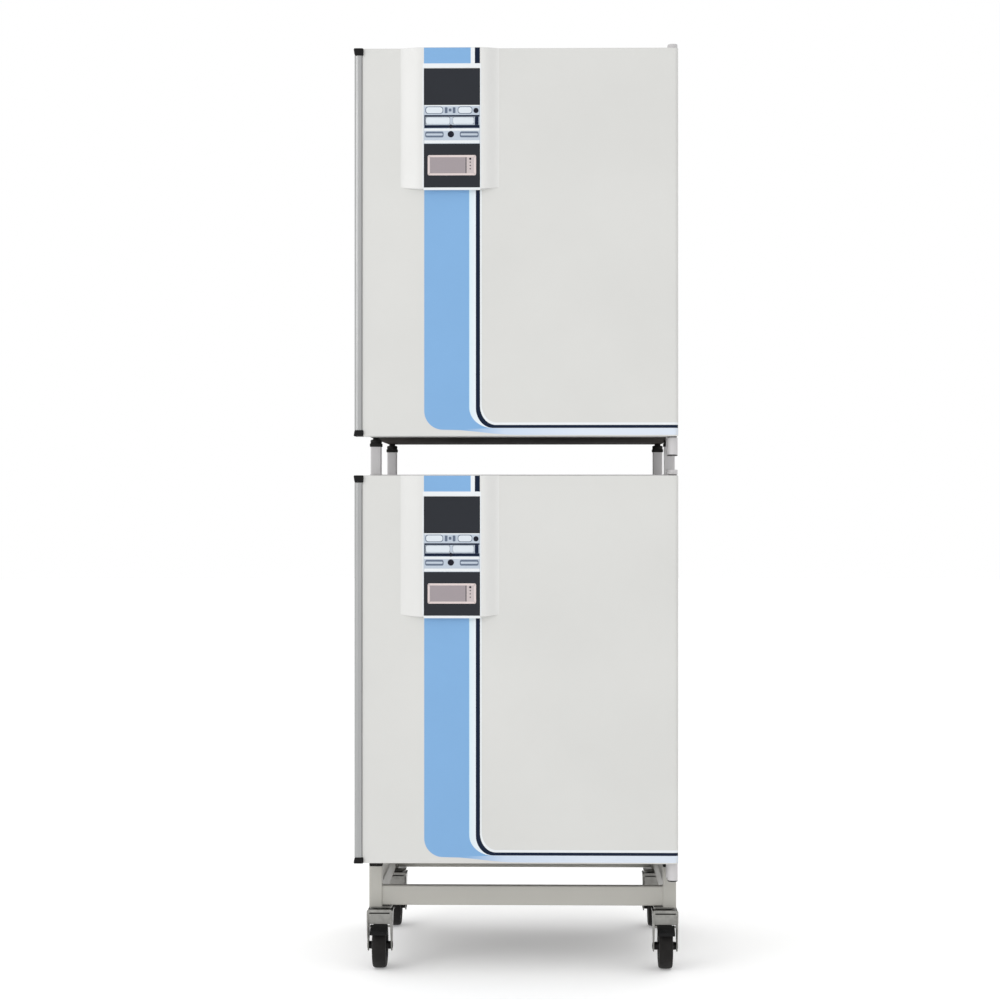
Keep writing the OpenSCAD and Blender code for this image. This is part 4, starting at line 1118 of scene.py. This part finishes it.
def fan(level):
    """Circulation fan: a disc, a coned hub, and blades that lean back with the square of the share of
    the way out."""
    low, high = (corner - UNDER for corner in span("lower_fan"))
    blades, lean, thick = 12, 0.42, 1.2 * MM
    centre, back = (FAN_X, 0, FAN_Z), low[1] + 30 * MM
    share = np.linspace(0, 1, 9)
    radius = (24 + 26.5 * share) * MM
    y = np.array([low[1] + 4 * MM, low[1] + 5 * MM, back - 1.5 * MM])[:, None] + 0 * share
    turn = lean * share**2
    along = np.stack([np.cos(turn), np.sin(turn)], -1)
    side = np.stack([-along[:, 1], along[:, 0]], -1) * thick / 2
    faces = []
    for sign in (1, -1):
        flat = radius[:, None] * along + sign * side
        faces.append(np.stack([FAN_X + flat[:, 0] + 0 * y, y, FAN_Z + flat[:, 1] + 0 * y], -1))
    blade = thick_sheet(*faces)
    wheel = [turned_by(blade, k * TAU / blades, centre, 1) for k in range(blades)]
    disc = [(0, 0), (12, 0), (13, -1), (52, -1), (52, -2.4), (14, -2.6), (12, -6), (11, -26), (8, -29.4),
            (0, -29.8)]
    wheel.append(turned(MM * np.array(disc), (FAN_X, back, FAN_Z), 1, 64))
    shaft = rod((FAN_X, back - 1 * MM, FAN_Z), (FAN_X, high[1], FAN_Z), 3.9 * MM, 1)
    parts = [(joined(wheel), FAN_ALLOY), (shaft, BOLT_STEEL)]
    piece(f"{level}_fan_wheel", raised(parts, level), f"{level}_fan_rotor", [f"{level}_fan"])


def sensor_guards():
    """Sensor heads: a flanged base and a stem with four grooves, turned from one profile."""
    low, high = in_both("sensor_heads")
    middle, tip, base = (low + high) / 2, low[1], high[1]
    guard = [(0, base), (14, base), (14, base - 8 * MM), (12.5, base - 10 * MM), (10, base - 10.5 * MM)]
    for k in range(4):
        y = base - (15 + 6 * k) * MM
        guard += [(10, y), (9, y - 0.6 * MM), (9, y - 2 * MM), (10, y - 2.6 * MM)]
    guard += [(10, tip + 4 * MM), (8.5, tip + 1.2 * MM), (5, tip), (0, tip)]
    head = turned([(radius * MM, y) for radius, y in guard], (middle[0], 0, middle[2]), 1, 40)
    piece("sensor_guards", twice([(head, WHITE_PLASTIC)]), "root", ["sensor_heads"])


def mouth_seals():
    """Soft seals round the chambers' mouths: a bulb section carried round a rounded rectangle."""
    low, high = in_both("chamber_seals")
    half, crown, front, back = 4 * MM, 2.4 * MM, low[1], high[1]
    path, outward = loop_path(flat_axes(1, low) + half, flat_axes(1, high) - half, 12 * MM, 8)
    bulb = [(-half, back), (-half, front + 1.6 * MM), (-crown, front + 0.2 * MM), (0, front),
            (crown, front + 0.2 * MM), (half, front + 1.6 * MM), (half, back)]
    seal = carried(bulb, path, outward, 1)
    piece("mouth_seals", twice([(seal, SILICONE)]), "root", ["chamber_seals"])


# ------------------------------------------------------------------ doors, inside


def liner_panel(level):
    """Inner panel: rounded rectangles, drawn in by so much at a depth, over the rim and down a dish."""
    low, high = (corner - UNDER for corner in span("lower_door_liner"))
    dish_low, dish_high = low + [46 * MM, 0, 60 * MM], high - [45 * MM, 0, 60 * MM]
    front, back = low[1], high[1]
    rim = [(0, front), (0, back - 3 * MM), (1, back - 0.8 * MM), (3, back)]
    dish = [(-4, back, 26), (-1.2, back - 1.2 * MM, 24), (0, back - 4 * MM, 22), (0.6, front + 8 * MM, 22),
            (2.6, front + 3.6 * MM, 20), (7, front + 1.9 * MM, 16)]
    rings = [placed(facing(low + draw * MM, high - draw * MM, 4 * MM), y, 1) for draw, y in rim]
    rings += [
        placed(facing(dish_low + draw * MM, dish_high - draw * MM, radius * MM), y, 1)
        for draw, y, radius in dish
    ]
    parts = [(skin(np.stack(rings)), LINER_PLASTIC)]
    piece(f"{level}_liner_panel", raised(parts, level), f"{level}_door",
          [f"{level}_door_liner"])


def gasket_bellows(level):
    """Door gasket: a bellows section, the same on both sides, carried round a rounded rectangle."""
    low, high = (corner - UNDER for corner in span("lower_door_gasket"))
    half, near, far = 10 * MM, low[1], high[1]
    path, outward = loop_path(flat_axes(1, low) + half, flat_axes(1, high) - half, 20 * MM, 8)
    right = [(5, far - 0.1 * MM), (8.4, far - 1.6 * MM), (9.8, near + 6.5 * MM), (8.6, near + 3 * MM),
             (10, near)]
    section = [(-out * MM, y) for out, y in right[::-1]] + [(out * MM, y) for out, y in right]
    parts = [(carried(section, path, outward, 1), GASKET)]
    piece(f"{level}_gasket_bellows", raised(parts, level), f"{level}_door",
          [f"{level}_door_gasket"])


GLASS_HINGE_Z = (185 * MM, 721 * MM)
KNUCKLE_H = 14 * MM


def glass_door(level):
    """Toughened pane with ground edges, two clamps on hinge knuckles, and a turned knob."""
    low, high = (corner - UNDER for corner in span("lower_glass_door"))
    parts = [(block(low, high, 9 * MM, 1 * MM, 1, 8), CLEAR_GLASS)]
    piece(f"{level}_pane", raised(parts, level), f"{level}_glass", [f"{level}_glass_door"])
    pin = HINGE[f"{level}_glass_hinge"]
    front, bore, rim = low[1] - 2 * MM, 2.6 * MM, 3.7 * MM
    shapes = []
    for z in GLASS_HINGE_Z:
        bottom, top = z + 0.3 * MM, z + KNUCKLE_H
        clamp_low, clamp_high = (high[0] - 30 * MM, front, bottom), (pin[0], low[1] - 0.05 * MM, top)
        shapes.append(block(clamp_low, clamp_high, 2 * MM, 0.6 * MM, 1))
        web_low, web_high = (high[0] + 0.3 * MM, front, bottom), (pin[0], pin[1] - 1 * MM, top)
        shapes.append(block(web_low, web_high, 0.5 * MM, 0.4 * MM, 2))
        knuckle = [(bore, bottom), (rim, bottom), (rim, top), (bore, top)]
        shapes.append(turned(knuckle, (pin[0], pin[1], 0), 2, 24, ring=True))
        for from_edge in (8 * MM, 22 * MM):
            shapes.append(pan_screw((high[0] - from_edge, front, z + KNUCKLE_H / 2), 3 * MM, 1, -1))
    knob = [(0, 0), (8, 0), (8, -1.5), (6, -3), (5.6, -9), (8, -11), (13.5, -11.6), (15, -13), (15, -17.5),
            (13, -19.6), (0, -20)]
    knob_place = (low[0] + 22 * MM, low[1], (low[2] + high[2]) / 2)
    shapes.append(turned(MM * np.array(knob), knob_place, 1, 48))
    parts = raised([(joined(shapes), BOLT_STEEL)], level)
    piece(f"{level}_glass_clamps", parts, f"{level}_glass", [f"{level}_glass_fittings"])


def outer_hinge(under):
    """One hinge arm of the outer door, over or under it: a wall plate with two screws, an arm round at
    its free end, a pin with a hexagonal head, and a washer against the door. The arm underneath is
    closed from below by a dark plate. Gives the painted, the steel and the dark shapes."""
    pin, right, nose = HINGE["lower_door_hinge"], CABINET_HIGH[0], 12 * MM
    near, plate = CABINET_LOW[1], CABINET_LOW[1] - 8 * MM
    if under:
        arm, wall, stem = (-46 * MM, -2 * MM), (-46 * MM, 20 * MM), (-42 * MM, 28 * MM)
        face, head, screw_z = -1 * MM, arm[0], (wall[0] + wall[1]) / 2 + 15 * MM
    else:
        arm, wall = (UNIT_H + 2 * MM, UNIT_H + 14 * MM), (UNIT_H - 20 * MM, UNIT_H + 14 * MM)
        stem = (UNIT_H - 28 * MM, UNIT_H + 8 * MM)
        face, head, screw_z = UNIT_H + 1 * MM, arm[1] - 0.4 * MM, (wall[0] + wall[1]) / 2 - 15 * MM
    radii = np.array([1, 1, 12, 12]) * MM
    painted = [
        block((right - 26 * MM, plate, wall[0]), (right, near - 0.1 * MM, wall[1]), 1.5 * MM, 1 * MM, 1),
        block((pin[0] - nose, pin[1] - nose, arm[0]), (right, near - 1 * MM, arm[1]), radii, 2 * MM, 2, 8),
        rod((pin[0], pin[1], stem[0]), (pin[0], pin[1], stem[1]), PIN_R, 2),
    ]
    hexagon = prism(even_circle(6.5 * MM, 6), (head - 2 * MM, head + 0.4 * MM), 2)
    steel = [moved(hexagon, (pin[0], pin[1], 0))]
    steel += [pan_screw((right - x, plate, screw_z), 3 * MM, 1, -1) for x in (6 * MM, 20 * MM)]
    rim, half = 10.5 * MM, 0.6 * MM
    washer = [(BUSH_R, -half), (rim, -half), (rim, half), (BUSH_R, half)]
    dark = [turned(washer, (pin[0], pin[1], face), 2, 32, ring=True)]
    if under:
        low = (pin[0] - nose - 0.2 * MM, pin[1] - nose - 0.2 * MM, arm[0] - 0.3 * MM)
        high = (right - 0.2 * MM, near - 2 * MM, arm[0] + 2.4 * MM)
        dark.append(block(low, high, radii, 0.4 * MM, 2, 8))
    return painted, steel, dark


def hinge_brackets():
    """Both hinge arms of each outer door, and the two small brackets with pins of each glass door."""
    painted, steel, dark = (over + under for over, under in zip(outer_hinge(False), outer_hinge(True)))
    pin, half = HINGE["lower_glass_hinge"], 4 * MM
    for z in GLASS_HINGE_Z:
        bottom = z - KNUCKLE_H
        bracket_low, bracket_high = (pin[0] - half, pin[1], bottom), (pin[0] + half, CABINET_LOW[1], z)
        painted.append(block(bracket_low, bracket_high, 0.6 * MM, 0.5 * MM, 2))
        painted.append(rod((pin[0], pin[1], bottom), (pin[0], pin[1], z), 3.7 * MM, 2))
        painted.append(rod((pin[0], pin[1], z - 1 * MM), (pin[0], pin[1], z + 13 * MM), 2.5 * MM, 2))
    parts = [(joined(painted), POST_PAINT), (joined(steel), BOLT_STEEL), (joined(dark), CAP_BLACK)]
    piece("hinge_arms", twice(parts), "root", ["hinge_brackets"])


# ------------------------------------------------------------------ frames and feet

POST_HALF = 16 * MM
PADS_LOW, PADS_HIGH = span("support_pads")
POSTS = [
    (x, y) for x in (PADS_LOW[0] + POST_HALF, PADS_HIGH[0] - POST_HALF)
    for y in (PADS_LOW[1] + POST_HALF, PADS_HIGH[1] - POST_HALF)
]


def bead(low, high, axis, place):
    """Weld round the end of a tube: a small round section carried round the tube's outline."""
    flat_low, flat_high = flat_axes(axis, low), flat_axes(axis, high)
    path, outward = loop_path(flat_low, flat_high, 3 * MM, 3)
    return carried(even_circle(1.6 * MM, 8) + [0, place], path, outward, axis)


def roller_frame():
    """Welded base of square tube: four posts and four rails, with a weld round each rail's ends."""
    low, high = span("roller_frame")
    rail_half, wall = 12.5 * MM, 2.5 * MM
    rail_z = (low[2] + 3 * MM, low[2] + 51 * MM)
    half = POST_HALF
    shapes = [
        hollow((x - half, y - half, low[2]), (x + half, y + half, high[2]), wall, 3 * MM, 2)
        for x, y in POSTS
    ]
    (x0, y0), (x1, y1) = POSTS[0], POSTS[-1]
    rails = [(0, (x0, y), (x1, y)) for y in (y0, y1)] + [(1, (x, y0), (x, y1)) for x in (x0, x1)]
    for axis, start, end in rails:
        rail_low, rail_high = np.array([*start, rail_z[0]]), np.array([*end, rail_z[1]])
        rail_low[1 - axis] -= rail_half
        rail_high[1 - axis] += rail_half
        rail_low[axis] += half - 0.3 * MM
        rail_high[axis] -= half - 0.3 * MM
        shapes.append(hollow(rail_low, rail_high, wall, 4 * MM, axis))
        shapes += [bead(rail_low, rail_high, axis, place) for place in (rail_low[axis], rail_high[axis])]
    piece("base_frame", [(joined(shapes), FRAME_PAINT)], "root", ["roller_frame"])


def stacking_frame():
    """Flat bars on the lower cabinet with a short post of square tube, and its weld, at each corner."""
    low, high = span("stacking_frame")
    half, flat_w, flat_t, lap = 13 * MM, 40 * MM, 3 * MM, 1 * MM
    bottom, top = low[2], low[2] + flat_t
    shapes = []
    for x in (low[0], high[0] - flat_w):
        shapes.append(block((x, low[1], bottom), (x + flat_w, high[1], top), 2 * MM, 0.8 * MM))
    for y in (low[1], high[1] - flat_w):
        bar_low = (low[0] + flat_w - lap, y, bottom)
        bar_high = (high[0] - flat_w + lap, y + flat_w, top - 0.1 * MM)
        shapes.append(block(bar_low, bar_high, 0.5 * MM, 0.8 * MM))
    for x, y in POSTS:
        post_low, post_high = (x - half, y - half, top), (x + half, y + half, high[2])
        shapes += [hollow(post_low, post_high, 2 * MM, 3 * MM, 2), bead(post_low, post_high, 2, top)]
    piece("stack_frame", [(joined(shapes), POST_PAINT)], "root", ["stacking_frame"])


def pads_and_feet():
    """Rubber caps on the posts, and the round feet that stand on them."""
    pad_h, foot_h = 9 * MM, 14 * MM
    pads = []
    for bottom, half in ((PADS_LOW[2], POST_HALF), (PADS_HIGH[2] - pad_h, 15 * MM)):
        for x, y in POSTS:
            pad_low, pad_high = (x - half, y - half, bottom), (x + half, y + half, bottom + pad_h)
            pads.append(block(pad_low, pad_high, 5 * MM, 2 * MM, 2, 5))
    piece("post_caps", [(joined(pads), PAD_RUBBER)], "root", ["support_pads"])
    foot = MM * np.array([(0, 0), (12.5, 0), (13.6, 0.6), (14, 1.8), (14, 6.5), (13.4, 7.8), (11, 9),
                          (8.6, 9.2), (8, 10), (8, 14), (0, 14)])
    feet = [turned(foot, (x, y, UNIT_Z[level] - foot_h), 2, 40) for level in LEVELS for x, y in POSTS]
    piece("feet", [(joined(feet), PAD_RUBBER)], "root", ["cabinet_feet"])


# ------------------------------------------------------------------ casters

TRAIL, WHEEL_R, AXLE_R = 35 * MM, 55 * MM, 6 * MM
WHEEL_CENTRE = (0, -TRAIL, WHEEL_R)
LEVER_PIN = (-66, 106)                   # millimetres, in the fork's side view


def at_swivel(parts, corner):
    """Parts drawn round a swivel axis at x = 0, y = 0, moved to one caster."""
    x, y, _ = HINGE[f"swivel_{corner}"]
    return [(moved(shape, (x, y, 0)), material) for shape, material in parts]


def block_mm(low, high, radius, edge, axis=2):
    """A block given in millimetres throughout."""
    return block(MM * np.array(low), MM * np.array(high), radius * MM, edge * MM, axis)


def caster_plates():
    """Top plates, ball races, and kingpins with their nuts."""
    plate = block_mm((-27.4, -27.4, 143), (27.4, 27.4, 147), 5, 0.8)
    race = [(5, 139.4), (17, 139.4), (19, 140.6), (19, 142), (17.4, 143.1), (5, 143.1)]
    nut = prism(even_circle(9 * MM, 6), (126.8 * MM, 133.6 * MM), 2)
    pin = rod((0, 0, 126.6 * MM), (0, 0, 146 * MM), 5 * MM, 2)
    race = turned(MM * np.array(race), (0, 0, 0), 2, 48, ring=True)
    parts = [(joined([plate, race, nut, pin]), FORK_STEEL)]
    everywhere = [part for corner in CORNERS for part in at_swivel(parts, corner)]
    piece("swivel_plates", everywhere, "root", ["caster_plates"], bevel=0.3 * MM)


def fork_leg():
    """Side view of a fork leg: along the crown, down past the lever's pin, round the axle through an arc
    of radius 14 mm, and up again."""
    angle = np.radians(np.linspace(188, 352, 17))
    around = [-TRAIL, WHEEL_R] + 14 * MM * np.stack([np.cos(angle), np.sin(angle)], -1)
    fore = [(22, 139), (-58, 139), (-61, 137), (-70, 113), (-71.5, 107), (-70.5, 101)]
    aft = [(-19, 66), (-12, 88), (4, 116), (18, 130)]
    return np.concatenate([MM * np.array(fore), around, MM * np.array(aft)])


def fork(corner, braked):
    """Pressed fork: two legs, a crown with a boss, an apron in front, and the axle between two caps; a
    braked one also has the lever's pin."""
    near, far = 27 * MM, 30 * MM
    steel = [prism(fork_leg(), side, 0) for side in ((near, far), (-far, -near))]
    steel.append(block_mm((-31, -62, 134), (31, 24, 139), 6, 1))
    steel.append(block_mm((-31, -62, 110), (31, -59, 145), 5, 0.8, 1))
    boss = MM * np.array([(6, 134), (20, 134), (20, 132.6), (17, 131), (6, 131)])
    steel.append(turned(boss, (0, 0, 0), 2, 40, ring=True))
    steel.append(rod((-far, -TRAIL, WHEEL_R), (far, -TRAIL, WHEEL_R), AXLE_R, 0))
    if braked:
        y, z = LEVER_PIN[0] * MM, LEVER_PIN[1] * MM
        steel.append(rod((-28 * MM, y, z), (28 * MM, y, z), 2.5 * MM, 0))
    cap = MM * np.array([(0, 1.5), (4, 1.45), (7.6, 1.0), (9, 0.2), (9, -0.2), (0, -0.2)]) + [0, far]
    caps = [turned(cap * [1, sign], WHEEL_CENTRE, 0, 32) for sign in (1, -1)]
    parts = [(joined(steel), FORK_STEEL), (joined(caps), CAP_BLACK)]
    piece(f"fork_{corner}", at_swivel(parts, corner), f"swivel_{corner}",
          [f"caster_fork_{corner}"], bevel=0.5 * MM)


def tyred_wheel(corner):
    """Rubber tyre and plastic hub, each turned from its profile, with eight ribs on both of its sides."""
    half_tyre = [(54.8, 8), (54, 13), (52.2, 16), (49, 17), (44, 15.6), (39, 13)]
    tyre = [(radius, -x) for radius, x in half_tyre[::-1]] + [(55, 0)] + half_tyre
    half_hub = [(39.2, 13), (37, 14.6), (35, 14), (34, 9), (30, 6), (12, 8), (10, 14), (9.6, 25), (9, 26.4),
                (6.1, 26.4)]
    hub = [(radius, -x) for radius, x in half_hub[::-1]] + half_hub
    y, thick = -TRAIL / MM, 0.9
    inner, outer = WHEEL_R / MM + 9, WHEEL_R / MM + 35
    rib = joined([
        block_mm((x, y - thick, inner), (x + 8, y + thick, outer), 0.5, 0.4, 0) for x in (-13, 5)
    ])
    ribs = [turned_by(rib, k * TAU / 8, WHEEL_CENTRE, 0) for k in range(8)]
    parts = [
        (turned(MM * np.array(tyre), WHEEL_CENTRE, 0, 72, ring=True), TYRE_RUBBER),
        (joined([turned(MM * np.array(hub), WHEEL_CENTRE, 0, 56, ring=True), *ribs]), HUB_BLACK),
    ]
    piece(f"tyred_wheel_{corner}", at_swivel(parts, corner), f"wheel_{corner}",
          [f"caster_wheel_{corner}"])


def pedal(corner):
    """Brake pedal: a bent lever carried straight across, with four ribs where the foot presses."""
    y, z = LEVER_PIN
    outline = [
        (3.6, 1.2), (2.6, 2.9), (0.6, 3.7), (-2, 3.7), (-12, -0.4), (-22, -4.8), (-30, -9), (-33, -12),
        (-34, -14.6), (-33.2, -16.8), (-31.4, -17), (-28, -14), (-16, -7.6), (-3, -2.6), (0.4, -3.7),
        (3, -2.2),
    ]
    shapes = [prism(MM * (np.array(outline) + LEVER_PIN), (-21 * MM, 21 * MM), 0)]
    for k in range(4):
        rib_y, rib_z = y - 31.5 + 3 * k, z - 10.6 + 1.5 * k
        shapes.append(block_mm((-17, rib_y, rib_z), (17, rib_y + 1.2, rib_z + 1.6), 0.4, 0.3, 0))
    piece(f"pedal_{corner}", at_swivel([(joined(shapes), CAP_BLACK)], corner), f"brake_{corner}",
          [f"brake_lever_{corner}"], bevel=0.4 * MM)


# ------------------------------------------------------------------ stage, camera and light


def stage():
    """Pale floor: rings of a wide flat disc, just under the wheels."""
    radius = np.array([0.0, 2, 6, 14, 30])
    flat = radius[:, None, None] * even_circle(1, 64)[None]
    points, faces = skin(placed(flat, -0.5 * MM, 2), caps=False)
    mesh = bpy.data.meshes.new("floor")
    mesh.from_pydata(points.tolist(), [], faces)
    floor = bpy.data.objects.new("floor", mesh)
    bpy.context.scene.collection.objects.link(floor)
    pale = Finish("studio_floor", 0.85)
    pale.mottle((0.9, 0.9, 0.9, 1.0), 0.004, 1.2)
    pale.shader.inputs["Emission Color"].default_value = (1, 1, 1, 1)
    pale.shader.inputs["Emission Strength"].default_value = 0.22
    mesh.materials.append(pale.material)


def area_light(name, place, aim, size, power):
    """A large soft square light at a place, turned towards an aim."""
    data = bpy.data.lights.new(name, "AREA")
    data.size = size
    data.energy = power
    lamp = bpy.data.objects.new(name, data)
    lamp.location = place
    direction = Vector(aim) - Vector(place)
    lamp.rotation_mode = "QUATERNION"
    lamp.rotation_quaternion = direction.to_track_quat("-Z", "Y")
    bpy.context.scene.collection.objects.link(lamp)


def camera_and_light():
    """Long lens in front of the stack, a little right of its middle, in a white room with two lamps."""
    data = bpy.data.cameras.new("camera")
    data.sensor_width = 36
    data.lens = 84
    camera = bpy.data.objects.new("camera", data)
    camera.location = (0.068, -6.001, 1.129)
    camera.rotation_euler = (math.radians(90.12), 0, math.radians(1.105))
    bpy.context.scene.collection.objects.link(camera)
    bpy.context.scene.camera = camera
    world = bpy.data.worlds.new("studio")
    world.use_nodes = True
    tree = world.node_tree
    sky = tree.nodes["Background"]
    sky.inputs[0].default_value = (1, 1, 1, 1)
    towards = tree.nodes.new("ShaderNodeTexCoord")
    axes = tree.nodes.new("ShaderNodeSeparateXYZ")
    dimmer = tree.nodes.new("ShaderNodeMapRange")
    # full brightness on the grips' side, falling to seven tenths on the hinges' side
    for name, value in (("From Min", 0.3), ("From Max", 0.9), ("To Min", 1.0), ("To Max", 0.7)):
        dimmer.inputs[name].default_value = value
    tree.links.new(towards.outputs["Generated"], axes.inputs[0])
    tree.links.new(axes.outputs[0], dimmer.inputs["Value"])
    tree.links.new(dimmer.outputs[0], sky.inputs["Strength"])
    bpy.context.scene.world = world
    bpy.context.scene.view_settings.view_transform = "Standard"
    lamp_size, middle = 2.4, (0, 0, 1.2)
    area_light("key", (-3.4, -3.9, 2.6), middle, lamp_size, 42)
    area_light("back", (2.6, 3.4, 3.0), (0, 0, 1.1), lamp_size, 14)


camera_and_light()
stage()
for level in LEVELS:
    door_shell(level)
    door_graphics(level)
    control_housing(level)
    windows(level)
    screen(level)
    keypad_print(level)
    housing_films(level)
    keys(level)
    door_grip(level)
    liner_panel(level)
    gasket_bellows(level)
    glass_door(level)
    casing(level)
    chamber_liner(level)
    fan(level)
    dress(f"{level}_keypad", KEYPAD_FILM)
    dress(f"{level}_door_core", FOAM)
rear_covers()
rear_fittings()
mains_sockets()
shelves()
chamber_covers()
sensor_guards()
mouth_seals()
hinge_brackets()
roller_frame()
stacking_frame()
pads_and_feet()
caster_plates()
for corner in CORNERS:
    braked = corner[0] == "f"
    fork(corner, braked)
    tyred_wheel(corner)
    if braked:
        pedal(corner)
dress("cabinet_insulation", FOAM)
dress("shelf_posts", STAINLESS_UP)
dress("fan_motors", MOTOR_BLACK)
